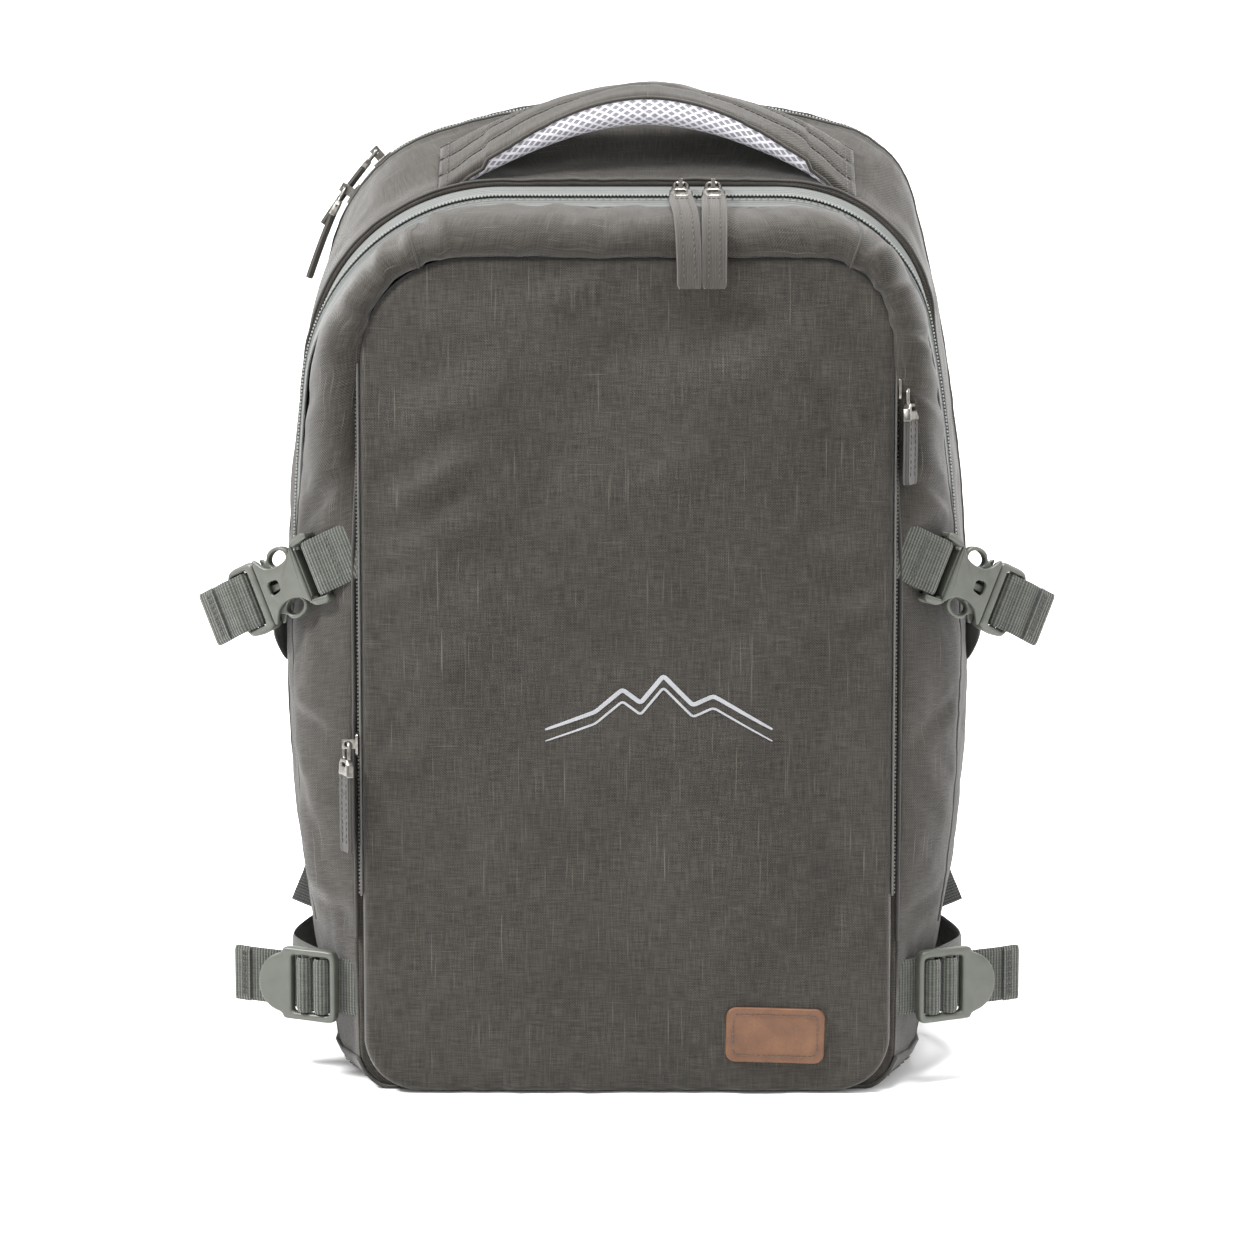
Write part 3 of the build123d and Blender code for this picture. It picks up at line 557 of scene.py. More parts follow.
def plane_matrix(origin, u, v, w):
    """Turns u, v, w coordinates into the row frame, in metres."""
    m = Matrix.Identity(4)
    for column, axis in enumerate((u, v, w)):
        for row in range(3):
            m[row][column] = float(axis[row])
    for row in range(3):
        m[row][3] = float(origin[row]) * MM
    return m


def refine(node, material, slot, body, bevel=0.35, name=None):
    """A copy of a CAD node with rounded edges, which stands for it."""
    source = frame["nodes"][node]
    mesh = source.data.copy()
    work = bmesh.new()
    work.from_mesh(mesh)
    bmesh.ops.remove_doubles(work, verts=work.verts, dist=0.01 * MM)
    bmesh.ops.dissolve_limit(work, angle_limit=math.radians(3), verts=work.verts, edges=work.edges)
    work.to_mesh(mesh)
    work.free()
    mesh.materials.clear()
    mesh.materials.append(material)
    obj = bpy.data.objects.new(name or node + "_body", mesh)
    bpy.context.scene.collection.objects.link(obj)
    mesh.polygons.foreach_set("use_smooth", np.ones(len(mesh.polygons), bool))
    rounding = obj.modifiers.new("rounding", "BEVEL")
    rounding.width, rounding.segments, rounding.limit_method = bevel * MM, 3, "ANGLE"
    rounding.angle_limit, rounding.use_clamp_overlap = math.radians(35), True
    settle(obj)
    sharpen(obj, 35)
    return fix(obj, slot, body, node)


def fix(obj, slot, body, *nodes):
    """Puts the piece on the body that it rides on and hides the nodes that it stands for; the slot argument
    is not used.
    """
    if isinstance(body, str):
        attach(obj, body)
    if nodes:
        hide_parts(*nodes)
    return obj


def lid_blend(obj):
    """Bakes the piece's transform into its mesh."""
    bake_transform(obj)
    return obj


# ---- materials -----------------------------------------------------------------------------


def new_material(name, **sockets):
    material = bpy.data.materials.new(name)
    material.use_nodes = True
    shader = material.node_tree.nodes["Principled BSDF"]
    for socket, value in sockets.items():
        shader.inputs[socket.replace("_", " ")].default_value = value
    return material, material.node_tree, shader


def add(tree, kind, inputs=None, **props):
    """A shader node with its inputs linked or set."""
    made = tree.nodes.new("ShaderNode" + kind)
    for key, value in props.items():
        setattr(made, key, value)
    for key, value in (inputs or {}).items():
        if isinstance(value, bpy.types.NodeSocket):
            tree.links.new(value, made.inputs[key])
        else:
            made.inputs[key].default_value = value
    return made


def weave_uv(tree):
    return add(tree, "UVMap", uv_map="weave").outputs["UV"]


def stretched_noise(tree, vector, size, shift=0.0, detail=2.0):
    """Noise whose lumps measure size along each axis of the vector."""
    scale = tuple(1 / s for s in size)
    place = add(tree, "Mapping", {"Vector": vector, "Scale": scale, "Location": (shift, shift * 0.7, 0)})
    return add(tree, "TexNoise", {"Vector": place.outputs[0], "Scale": 1.0, "Detail": detail,
        "Roughness": 0.6}).outputs["Fac"]


def bands(tree, vector, period, direction="X", distortion=0.0):
    """Even bands of one period along an axis of the vector."""
    scale = 2 * math.pi / ((10 if direction == "DIAGONAL" else 20) * period)
    wave = add(
        tree, "TexWave", {"Vector": vector, "Scale": scale, "Distortion": distortion, "Detail Scale": 2.0},
        wave_type="BANDS", bands_direction=direction, wave_profile="SIN",
    )
    return wave.outputs["Fac"]


def plus(tree, first, second):
    return add(tree, "Math", {0: first, 1: second}, operation="ADD").outputs[0]


def minus(tree, first, second):
    return add(tree, "Math", {0: first, 1: second}, operation="SUBTRACT").outputs[0]


def times(tree, first, second):
    return add(tree, "Math", {0: first, 1: second}, operation="MULTIPLY").outputs[0]


def larger(tree, first, second):
    return add(tree, "Math", {0: first, 1: second}, operation="MAXIMUM").outputs[0]


def ramp(tree, factor, stops):
    """A colour ramp from (place, colour) pairs."""
    made = add(tree, "ValToRGB", {"Fac": factor})
    elements = made.color_ramp.elements
    while len(elements) < len(stops):
        elements.new(0.5)
    for element, (place, colour) in zip(elements, stops):
        element.position = place
        element.color = (*colour, 1)
    return made.outputs["Color"]


def finish_material(tree, shader, colour, height, depth, roughness=None, strength=0.6):
    bump = add(tree, "Bump", {"Height": height, "Distance": depth * MM, "Strength": strength})
    tree.links.new(colour, shader.inputs["Base Color"])
    tree.links.new(bump.outputs["Normal"], shader.inputs["Normal"])
    if roughness is not None:
        tree.links.new(roughness, shader.inputs["Roughness"])


def spread(tree, factor, lowest, highest):
    """Maps 0..1 to a range."""
    made = add(tree, "MapRange", {"Value": factor, "To Min": lowest, "To Max": highest})
    return made.outputs[0]


def melange(name, dark, light, slub, yarn=0.6, sheen=0.2):
    """Twill of two-tone yarns with a few thicker pale ones."""
    material, tree, shader = new_material(name, Sheen_Weight=sheen, Sheen_Roughness=0.45,
        Specular_IOR_Level=0.25)
    uv = weave_uv(tree)
    warp = stretched_noise(tree, uv, (yarn, 11.0, 1.0), 0.0)
    weft = stretched_noise(tree, uv, (9.0, yarn * 0.9, 1.0), 31.0)
    twill = bands(tree, uv, 1.15, "DIAGONAL", 0.6)
    cloudy = stretched_noise(tree, uv, (45.0, 60.0, 1.0), 7.0, 3.0)
    mixed = add(tree, "Mix", {0: twill, 2: warp, 3: weft}, data_type="FLOAT").outputs[0]
    toned = plus(tree, mixed, times(tree, minus(tree, cloudy, 0.5), 0.16))
    woven = plus(tree, toned, times(tree, minus(tree, twill, 0.5), 0.12))
    base = ramp(tree, woven, [(0.36, dark), (0.53, tuple((a + b) / 2 for a, b in zip(dark, light))),
        (0.70, light)])
    long_slub = stretched_noise(tree, uv, (0.85, 42.0, 1.0), 57.0, 1.0)
    cross_slub = stretched_noise(tree, uv, (30.0, 0.8, 1.0), 83.0, 1.0)
    pale = larger(
        tree, spread_steps(tree, long_slub, 0.66, 0.78), times(tree,
        spread_steps(tree, cross_slub, 0.7, 0.8), 0.6)
    )
    colour = add(tree, "Mix", {0: times(tree, pale, 0.55), 6: base, 7: (*slub, 1)},
        data_type="RGBA").outputs[2]
    height = plus(tree, times(tree, twill, 0.7), plus(tree, mixed, times(tree, pale, 0.5)))
    finish_material(tree, shader, colour, height, 0.22, spread(tree, mixed, 0.78, 0.98), 0.7)
    return material


def spread_steps(tree, factor, start, end):
    """0 below start and 1 above end."""
    return add(tree, "MapRange", {"Value": factor, "From Min": start, "From Max": end},
        interpolation_type="SMOOTHSTEP").outputs[0]


def plain_cloth(name, dark, light, period, sheen=0.1, gloss=0.8, depth=0.15):
    """A plain weave of crossing yarns."""
    material, tree, shader = new_material(name, Sheen_Weight=sheen, Specular_IOR_Level=0.3)
    uv = weave_uv(tree)
    across, along = bands(tree, uv, period, "X", 0.4), bands(tree, uv, period, "Y", 0.4)
    cross = times(tree, across, along)
    grain = stretched_noise(tree, uv, (period * 0.8, period * 9, 1.0), 3.0)
    cloudy = stretched_noise(tree, uv, (30.0, 38.0, 1.0), 11.0, 3.0)
    mixed = plus(tree, times(tree, cross, 0.35), plus(tree, times(tree, grain, 0.6),
        times(tree, cloudy, 0.25)))
    colour = ramp(tree, mixed, [(0.3, dark), (0.8, light)])
    finish_material(tree, shader, colour, mixed, depth, spread(tree, grain, gloss - 0.1, gloss + 0.1))
    return material


def ripstop(name, dark, light):
    """Thin lining with a raised square grid."""
    material, tree, shader = new_material(name, Specular_IOR_Level=0.35, Sheen_Weight=0.1)
    uv = weave_uv(tree)
    lines = larger(tree, spread_steps(tree, bands(tree, uv, 5.0, "X"), 0.9, 0.98),
        spread_steps(tree, bands(tree, uv, 5.0, "Y"), 0.9, 0.98))
    grain = stretched_noise(tree, uv, (0.6, 5.0, 1.0), 5.0)
    mixed = plus(tree, times(tree, lines, 0.4), times(tree, grain, 0.6))
    finish_material(tree, shader, ramp(tree, mixed, [(0.2, dark), (0.8, light)]), mixed, 0.2,
        spread(tree, grain, 0.55, 0.75))
    return material


def ribbed(name, dark, light, rib, bead, depth=0.35, gloss=0.72, rows=False):
    """Webbing or tape: ribs along its length, or rows across it, broken by fine beads."""
    material, tree, shader = new_material(name, Sheen_Weight=0.15, Specular_IOR_Level=0.3)
    uv = weave_uv(tree)
    first, second = ("Y", "X") if rows else ("X", "Y")
    ribs, beads = bands(tree, uv, rib, first, 0.3), bands(tree, uv, bead, second, 0.5)
    grain = stretched_noise(tree, uv, (0.5, 2.2, 1.0), 9.0)
    fleck = stretched_noise(tree, uv, (rib, 6.0, 1.0), 21.0)
    relief = plus(tree, times(tree, ribs, 0.62), times(tree, times(tree, ribs, beads), 0.38))
    tone = plus(tree, times(tree, relief, 0.5), plus(tree, times(tree, grain, 0.3),
        times(tree, fleck, 0.35)))
    finish_material(tree, shader, ramp(tree, tone, [(0.25, dark), (0.85, light)]), relief, depth,
        spread(tree, grain, gloss - 0.08, gloss + 0.12), 0.9)
    return material


def mesh_cloth(name, strand, hole, width, height):
    """Spacer mesh: crossing strands round diamond holes; the holes' darker colour is painted shade inside the
    openings.
    """
    material, tree, shader = new_material(name, Sheen_Weight=0.25, Specular_IOR_Level=0.25)
    uv = weave_uv(tree)
    turn = math.atan2(width, height)
    pitch = width * math.cos(turn)
    strands = []
    for sign in (-1, 1):
        place = add(tree, "Mapping", {"Vector": uv, "Rotation": (0, 0, sign * turn)})
        strands.append(bands(tree, place.outputs[0], pitch, "X"))
    net = larger(tree, *strands)
    grain = stretched_noise(tree, uv, (0.5, 0.7, 1.0), 4.0)
    shape = spread_steps(tree, plus(tree, net, times(tree, minus(tree, grain, 0.5), 0.25)), 0.55, 0.85)
    # The hole colour, and the dimmed strand colour that grades towards it, are painted shade in the mesh's
    # openings.
    colour = ramp(tree, shape, [(0.0, hole), (0.55, tuple(c * 0.8 for c in strand)), (1.0, strand)])
    finish_material(tree, shader, colour, shape, 0.5, spread(tree, grain, 0.7, 0.95), 0.9)
    return material


def moulded(name, dark, light, gloss=0.42):
    """Moulded plastic with a fine grain and faint flow marks."""
    material, tree, shader = new_material(name, Specular_IOR_Level=0.45)
    place = add(tree, "TexCoord").outputs["Object"]
    grain = add(tree, "TexNoise", {"Vector": place, "Scale": 3500.0, "Detail": 3.0}).outputs["Fac"]
    flow = add(tree, "TexNoise", {"Vector": place, "Scale": 160.0, "Detail": 3.0}).outputs["Fac"]
    tone = plus(tree, times(tree, grain, 0.4), times(tree, flow, 0.6))
    finish_material(tree, shader, ramp(tree, tone, [(0.3, dark), (0.7, light)]), grain, 0.05,
        spread(tree, flow, gloss - 0.07, gloss + 0.12), 0.5)
    return material


def plated(name, dark, light, gloss=0.24):
    """Plated metal with fine scratches and finger marks."""
    material, tree, shader = new_material(name, Metallic=1.0)
    place = add(tree, "TexCoord").outputs["Object"]
    scratches = stretched_noise(tree, place, (0.012, 0.0005, 0.004), 2.0, 4.0)
    marks = add(tree, "TexNoise", {"Vector": place, "Scale": 420.0, "Detail": 4.0}).outputs["Fac"]
    finish_material(tree, shader, ramp(tree, marks, [(0.3, dark), (0.7, light)]), scratches, 0.03,
        spread(tree, marks, gloss - 0.08, gloss + 0.14), 0.4)
    return material


def leather_material(name, dark, mid, light):
    material, tree, shader = new_material(name, Specular_IOR_Level=0.4)
    uv = weave_uv(tree)
    pores = add(tree, "TexVoronoi", {"Vector": uv, "Scale": 1.1}, feature="F1").outputs["Distance"]
    grain = add(tree, "TexNoise", {"Vector": uv, "Scale": 0.9, "Detail": 5.0}).outputs["Fac"]
    cloudy = add(tree, "TexNoise", {"Vector": uv, "Scale": 0.09, "Detail": 4.0}).outputs["Fac"]
    tone = plus(tree, times(tree, cloudy, 0.7), times(tree, grain, 0.3))
    relief = plus(tree, pores, times(tree, grain, 0.6))
    finish_material(tree, shader, ramp(tree, tone, [(0.32, dark), (0.52, mid), (0.7, light)]), relief,
        0.12, spread(tree, grain, 0.42, 0.62), 0.6)
    return material


def thread_material(name, dark, light):
    """Twisted sewing thread."""
    material, tree, shader = new_material(name, Sheen_Weight=0.2)
    uv = weave_uv(tree)
    twist = bands(tree, uv, 0.5, "DIAGONAL")
    finish_material(tree, shader, ramp(tree, twist, [(0.2, dark), (0.8, light)]), twist, 0.1,
        spread(tree, twist, 0.55, 0.8))
    return material


shell = melange("shell melange", (0.0092, 0.0080, 0.0066), (0.0475, 0.0420, 0.0350),
    (0.104, 0.0940, 0.0790))
handle_cloth = melange("handle melange", (0.0118, 0.0104, 0.0087), (0.0505, 0.0450, 0.0382),
    (0.096, 0.0870, 0.0740), yarn=0.55)
seam_cloth = plain_cloth("seam cloth", (0.016, 0.015, 0.013), (0.042, 0.039, 0.035), 0.8)
boot_cloth = plain_cloth("base cloth", (0.028, 0.026, 0.023), (0.062, 0.058, 0.052), 0.9)
lining = ripstop("lining ripstop", (0.115, 0.118, 0.115), (0.19, 0.193, 0.187))
# The second colour of each spacer mesh is painted shade for its holes.
air_mesh = mesh_cloth("air mesh", (0.62, 0.61, 0.66), (0.22, 0.215, 0.24), 3.2, 5.0)
back_mesh = mesh_cloth("back air mesh", (0.17, 0.17, 0.175), (0.035, 0.035, 0.037), 3.4, 4.6)
tape_cloth = ribbed("zip tape", (0.062, 0.0655, 0.063), (0.112, 0.1165, 0.112), 0.9, 0.8, 0.12)
dark_tape = ribbed("pocket zip tape", (0.035, 0.034, 0.031), (0.08, 0.077, 0.07), 0.9, 0.8, 0.12)
dark_coil = moulded("pocket coil", (0.045, 0.044, 0.04), (0.085, 0.083, 0.076), 0.4)
coil_plastic = moulded("coil", (0.11, 0.118, 0.11), (0.17, 0.18, 0.168), 0.38)
webbing = ribbed("webbing", (0.014, 0.0155, 0.0130), (0.092, 0.0975, 0.0825), 1.45, 1.3, 0.5, rows=True)
dark_webbing = ribbed("dark webbing", (0.014, 0.015, 0.014), (0.07, 0.073, 0.068), 1.4, 1.3, 0.5, rows=True)
binding_cloth = plain_cloth("strap foot cloth", (0.03, 0.03, 0.028), (0.075, 0.073, 0.068), 1.0)
binding_tape = ribbed("binding tape", (0.05, 0.048, 0.043), (0.10, 0.096, 0.088), 0.8, 0.7, 0.15)
plastic = moulded("buckle plastic", (0.052, 0.0555, 0.0455), (0.074, 0.0785, 0.0655), 0.36)
nickel = plated("nickel", (0.11, 0.105, 0.096), (0.24, 0.23, 0.21), 0.3)
tab_cloth = ribbed("pull tab cloth", (0.022, 0.0195, 0.0165), (0.056, 0.0505, 0.0435), 0.7, 0.6, 0.15, 0.8)
leather = leather_material("patch leather", (0.066, 0.0265, 0.0105), (0.098, 0.0405, 0.0160),
    (0.130, 0.0580, 0.0240))
# A darker copy of the pull tab cloth for the pocket pulls: painted shade, since they hang sideways in shadow.
shaded_pocket_tab_cloth = ribbed("shaded pocket tab cloth", (0.016, 0.015, 0.013), (0.05, 0.046, 0.041), 0.7, 0.6, 0.15,
    0.8)
brown_thread = thread_material("brown thread", (0.035, 0.018, 0.010), (0.075, 0.038, 0.02))
grey_thread = thread_material("grey thread", (0.018, 0.017, 0.015), (0.05, 0.047, 0.042))
print_ink = moulded("silver print", (0.20, 0.205, 0.215), (0.27, 0.275, 0.29), 0.4)


# ---- sewn skins of the body ----------------------------------------------------------------
ROLL = [  # the front section's roof rolls forward over the pocket: (y, height) from its front edge
    (-2.6, -5.6), (-6.0, -6.8), (-10.0, -5.8), (-12.6, -2.4), (-12.4, 2.8), (-9.2, 7.8),
    (-2.0, 11.4), (8.6, 13.4), (20.0, 14.0), (32.4, 12.6),
]
ZIP_TILT = 5.4 / 6.0  # over the roof the front zip's tapes lean forward: rise for each unit towards the back
SHOULDER_RIGHT = BOTTOM_COUNT + FOOT_COUNT + SIDE_COUNT
SHOULDER_LEFT = SHOULDER_RIGHT + SHOULDER_COUNT + TOP_COUNT
STRAP_DIP_Z, LOW_STRAP_Z = 238.0, 45.0


def zip_lean(y, z):
    """How far the front zip's tapes and borders rise at depth y, fading out down the sides."""
    return (y - FRONT_ZIP_Y) * ZIP_TILT * smooth(z, 318, 392)


def seam_pucker(s, distance, size, seed):
    """Small gathers that fade away from a sewn edge."""
    return value_noise(s / size, s * 0, seed) * 0.45 * np.exp(-distance / 4.0) * (1
        - np.exp(-distance / 1.2))


def front_gusset_points():
    rows = 34
    t = np.linspace(0, 1, rows)
    profile = resample(spline(ROLL, 0.4), None, count=rows)
    share = (FRONT_TOP - EDGE_TOP) / 18.0
    z = (edge_outline[:, 1] + front_outline[:, 1]) / 2
    top = smooth(z, 222, 345)
    foot = smooth(z, 6, 70)
    normal = outward(edge_outline)
    s = arc_lengths(edge_outline)
    side_y = -2.4 * smooth(z, 20, 90)[None] * (1 - t[:, None]) ** 2 + (FRONT_ZIP_FRONT + 0.4
        - EDGE_Y) * t[:, None]
    roll_y = profile[:, :1] * np.ones_like(z)[None]
    roll_b = (profile[:, 1:] - 18.0 * t[:, None]) * share
    side_lean = zip_lean(FRONT_ZIP_FRONT, z)[None] * (t[:, None] ** 3) * (1 - top)
    dips = 0.62 * np.exp(-(((z - STRAP_DIP_Z) / 30) ** 2)) + 0.4 * np.exp(-(((z - LOW_STRAP_Z) / 22) ** 2))
    side_b = 7.6 * np.sin(np.pi * t[:, None]) ** 0.75 * (smooth(z, 12, 130) * (1 - dips))[None]
    y = EDGE_Y + side_y * (1 - top) + roll_y * top
    b = side_b * (1 - top) + roll_b * top + side_lean
    q = t[:, None] * 42
    inner = np.sin(np.pi * np.clip(t[:, None], 0, 1)) ** 0.6
    wrinkle = layered_noise(s[None] + q * 0.5, q, 34, 21) * (2.2
        - 1.1 * top)[None] + layered_noise(s[None], q, 13, 41, 2) * 0.45
    b = b + wrinkle * inner * foot[None]
    s_left, s_right = s[SHOULDER_LEFT], s[SHOULDER_RIGHT]
    for start, end, width, depth in (
        ((s_left + 6, 3), (s_left + 20, 30), 3.4, 2.1), ((s_left + 20, 2), (s_left + 27, 26), 3.0, 1.7),
        ((s_left + 38, 2), (s_left + 34, 28), 3.6, 1.5), ((s_left + 58, 1), (s_left + 50, 24), 3.4, 1.4),
        ((s_right + 4, 2), (s_right - 8, 26), 3.4, 1.7), ((s_right + 22, 2), (s_right + 14, 30), 3.2, 2.0),
        ((s_right + 36, 3), (s_right + 30, 28), 3.2, 1.8), ((s_right - 22, 1), (s_right - 34, 25), 4.0,
        1.5),
        ((s_right + 56, 3), (s_right + 50, 20), 4.0, 1.0), ((s_left - 30, 3), (s_left - 22, 18), 4.0, 0.8),
    ):
        b = b - fold(s[None], q, start, end, width * 0.8, depth * 1.25)
    for side in (0, 1):
        near = s[BOTTOM_COUNT + FOOT_COUNT] if side == 0 else s[-1] - s[BOTTOM_COUNT + FOOT_COUNT]
        sign = 1 if side == 0 else -1
        for rise, lean, depth in ((214, 14, 1.6), (262, -16, 1.7), (60, 12, 1.1), (24, -8, 0.9),
            (140, 22, 1.0)):
            b = b - fold(s[None], q, (near + sign * rise, 2), (near + sign * (rise + lean), 36), 4.2,
                depth * 1.5)
    over = (front_outline[:, 0] + edge_outline[:, 0])[None] / 2
    for x in (99, -91):
        b = b - 1.3 * np.exp(-(((over - x) / 2.4) ** 2)) * top[None] + 0.7 * np.exp(-(((over
            - x) / 7.0) ** 2)) * top[None]
    gathers = value_noise(s[None] / 9.0 + q * 0.03, q / 40.0,
        91) * 1.9 * top[None] * np.sin(np.pi * t[:, None])
    b = b + gathers + seam_pucker(s, q, 4.5, 77) * foot + seam_pucker(s, 42 - q, 3.6, 78) * foot
    b = b - 1.1 * smooth(t, 0.965, 1.0)[:, None]
    along = edge_outline[None] * (1 - t[:, None, None]) + front_outline[None] * t[:, None, None]
    xz = along + normal[None] * b[:, :, None]
    points = np.stack([xz[..., 0], np.broadcast_to(y, xz.shape[:2]), xz[..., 1]], axis=2)
    points[..., 2] = np.maximum(points[..., 2], 0.5)
    return points


def band_points(first, second, y0, y1, rows, bulge, seed, sink=0.9):
    """A gusset between two outlines with sewn, slightly gathered borders."""
    t = np.linspace(0, 1, rows)
    depth = y1 - y0
    z = (first[:, 1] + second[:, 1]) / 2
    foot = smooth(z, 6, 60)
    s = arc_lengths(first)
    q = t[:, None] * depth
    swell = bulge * np.sin(np.pi * t[:, None]) ** 0.8 * foot[None]
    wrinkle = layered_noise(s[None] + q * 0.4, q, 40, seed) * 1.8 + layered_noise(s[None], q, 14, seed + 9,
        2) * 0.4
    b = swell + wrinkle * np.sin(np.pi * t[:, None]) ** 0.6 * foot[None]
    b = b + (seam_pucker(s, q, 4.2, seed + 3) + seam_pucker(s, depth - q, 4.4, seed + 4)) * foot
    border = np.minimum(q, depth - q)
    b = b + 0.45 * np.exp(-(((border - 2.0) / 1.3) ** 2)) - 0.35 * np.exp(-(((border - 4.2) / 1.0) ** 2))
    b = b - sink * (1 - smooth(border, 0.0, 1.4))
    if y0 < FRONT_ZIP_Y + 10:
        b = b + zip_lean(FRONT_ZIP_REAR, first[:, 1])[None] * (1 - smooth(q, 0, 20))
    along = first[None] * (1 - t[:, None, None]) + second[None] * t[:, None, None]
    xz = along + outward(first)[None] * b[:, :, None]
    y = y0 + depth * t[:, None]
    points = np.stack([xz[..., 0], np.broadcast_to(y, xz.shape[:2]), xz[..., 1]], axis=2)
    points[..., 2] = np.maximum(points[..., 2], 0.5)
    return points


def skin_object(name, points, cloth, thick=1.3):
    sewing = Sewing()
    sewing.grid(points, turn=True)
    return thicken(sewing.make(name, [cloth, lining], merge=0.005), thick)


front_points = front_gusset_points()
front_skin = skin_object("front_section_skin", front_points, shell)
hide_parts("front_gusset")
lid_blend(front_skin)

mid_points = band_points(front_outline, rear_outline, FRONT_ZIP_REAR - 0.4, REAR_ZIP_FRONT + 0.4, 36, 2.6,
    101)
fix(skin_object("middle_section_skin", mid_points, shell), "shell_fabric", "bag_body", "mid_gusset",
    "lower_skirt")

rear_points = band_points(rear_outline, back_outline, REAR_ZIP_REAR - 0.4, BACK_Y + 1.0, 40, 3.4, 151)
rear_skin = skin_object("rear_section_skin", rear_points, shell)
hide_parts("rear_gusset")
lid_blend(rear_skin)


def below(outline, height):
    """Stations of an outline up to a height, from its right side down under the base to its left."""
    ring = np.vstack([outline[COUNT // 2:-1], outline[:COUNT // 2]])
    keep = ring[:, 1] < height
    start, end = np.argmax(keep), len(ring) - np.argmax(keep[::-1])
    return ring[start:end]


def foot_band(name, outline, y0, y1, height):
    """Shell cloth over the foot of a zip, where the two skins meet below the lid's bend."""
    ring = below(outline, height)
    normal = unit(np.stack([np.gradient(ring[:, 1]), -np.gradient(ring[:, 0])], axis=1))
    ys = np.linspace(y0, y1, 9)
    swell = 0.5 * np.sin(np.pi * np.linspace(0, 1, 9))[:, None] - 0.7
    xz = ring[None] + normal[None] * swell[:, :, None]
    points = np.stack([xz[..., 0], np.broadcast_to(ys[:, None], xz.shape[:2]),
        np.maximum(xz[..., 1], 0.5)], axis=2)
    sewing = Sewing()
    sewing.grid(points, turn=True)
    return fix(thicken(sewing.make(name, [shell, lining]), 1.2), "shell_fabric", "bag_body", "lower_skirt")


foot_band("front_zip_foot", front_outline, FRONT_ZIP_FRONT - 2, FRONT_ZIP_REAR + 2, SPLIT + 1)
foot_band("rear_zip_foot", rear_outline, REAR_ZIP_FRONT - 2, REAR_ZIP_REAR + 2, SPLIT + 1)


def base_boot():
    """The coated base: a tray that wraps a little way up the sides, with a hemmed and stitched rim."""
    height = 15.0
    ys = np.concatenate([np.linspace(EDGE_Y - 2.5, FRONT_ZIP_FRONT, 8),
        np.linspace(FRONT_ZIP_REAR, REAR_ZIP_FRONT, 8),
                         np.linspace(REAR_ZIP_REAR, BACK_Y + 2.5, 10)])
    rings = []
    for y in ys:
        ring = resample(below(ring_at(y), height), None, count=90)
        normal = unit(np.stack([np.gradient(ring[:, 1]), -np.gradient(ring[:, 0])], axis=1))
        ring = ring + normal * (0.9 + 0.5 * smooth(ring[:, 1], height - 4, height)[:, None])
        rings.append(np.column_stack([ring[:, 0], np.full(90, y), np.maximum(ring[:, 1] - 0.2, 0.0)]))
    points = np.array(rings)
    sewing = Sewing()
    sewing.grid(points, turn=True)
    boot = fix(thicken(sewing.make("base_boot", [boot_cloth, lining]), 1.4), "base_fabric", "bag_body",
        "base_panel")
    threads = Sewing()
    for column in (3, 86):
        path = points[:, column]
        outward_side = np.sign(path[:, :1]) * np.array([[1.0, 0, 0.1]])
        stitch_mesh(threads, path + outward_side * 0.2, outward_side, pitch=3.4, length=2.3)
    fix(threads.make("base_boot_stitches", grey_thread), "base_fabric", "bag_body")
    return boot


base_boot()


def seam_objects():
    """Dark turned seams where the front gusset meets the front face and where both skins meet the zips."""
    top_run = slice(SHOULDER_RIGHT, SHOULDER_LEFT + SHOULDER_COUNT)
    for name, x in (("roll_seam_right", 101), ("roll_seam_left", -93)):
        column = SHOULDER_RIGHT + int(np.argmin(np.abs(front_points[20, top_run, 0] - x)))
        line = front_points[3:-2, column] - [0, 0, 0.2]
        seam = tube(name, resample(line, 1.2), 0.5, seam_cloth, sides=8, up=(1, 0, 0))
        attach(seam, "front_lid")
    for name, points, lid, radius in (
        ("front_seam", front_points[0], "front_lid", 0.9),
        ("front_zip_welt", front_points[-2], "front_lid", 0.75),
        ("middle_front_welt", mid_points[1], None, 0.75),
        ("middle_rear_welt", mid_points[-2], None, 0.75),
        ("rear_zip_welt", rear_points[1], "back_lid", 0.75),
    ):
        line = points[points[:, 2] > 2.0] if lid == "front_lid" and radius > 1 else points[points[:,
            2] > SPLIT - 2]
        start = np.argmax(np.linalg.norm(np.diff(line, axis=0), axis=1) > 20)
        line = np.roll(line, -(start + 1), axis=0) if start else line
        line = resample(line, 1.6)
        seam = tube(name, line, radius, seam_cloth, sides=8, up=(0, 1, 0))
        if lid:
            lid_blend(seam)
        else:
            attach(seam, "bag_body")


seam_objects()


# ---- zips ----------------------------------------------------------------------------------


def above(outline, height):
    keep = outline[:, 1] > height
    start, end = np.argmax(keep), len(keep) - np.argmax(keep[::-1])
    return outline[start:end], outward(outline)[start:end]


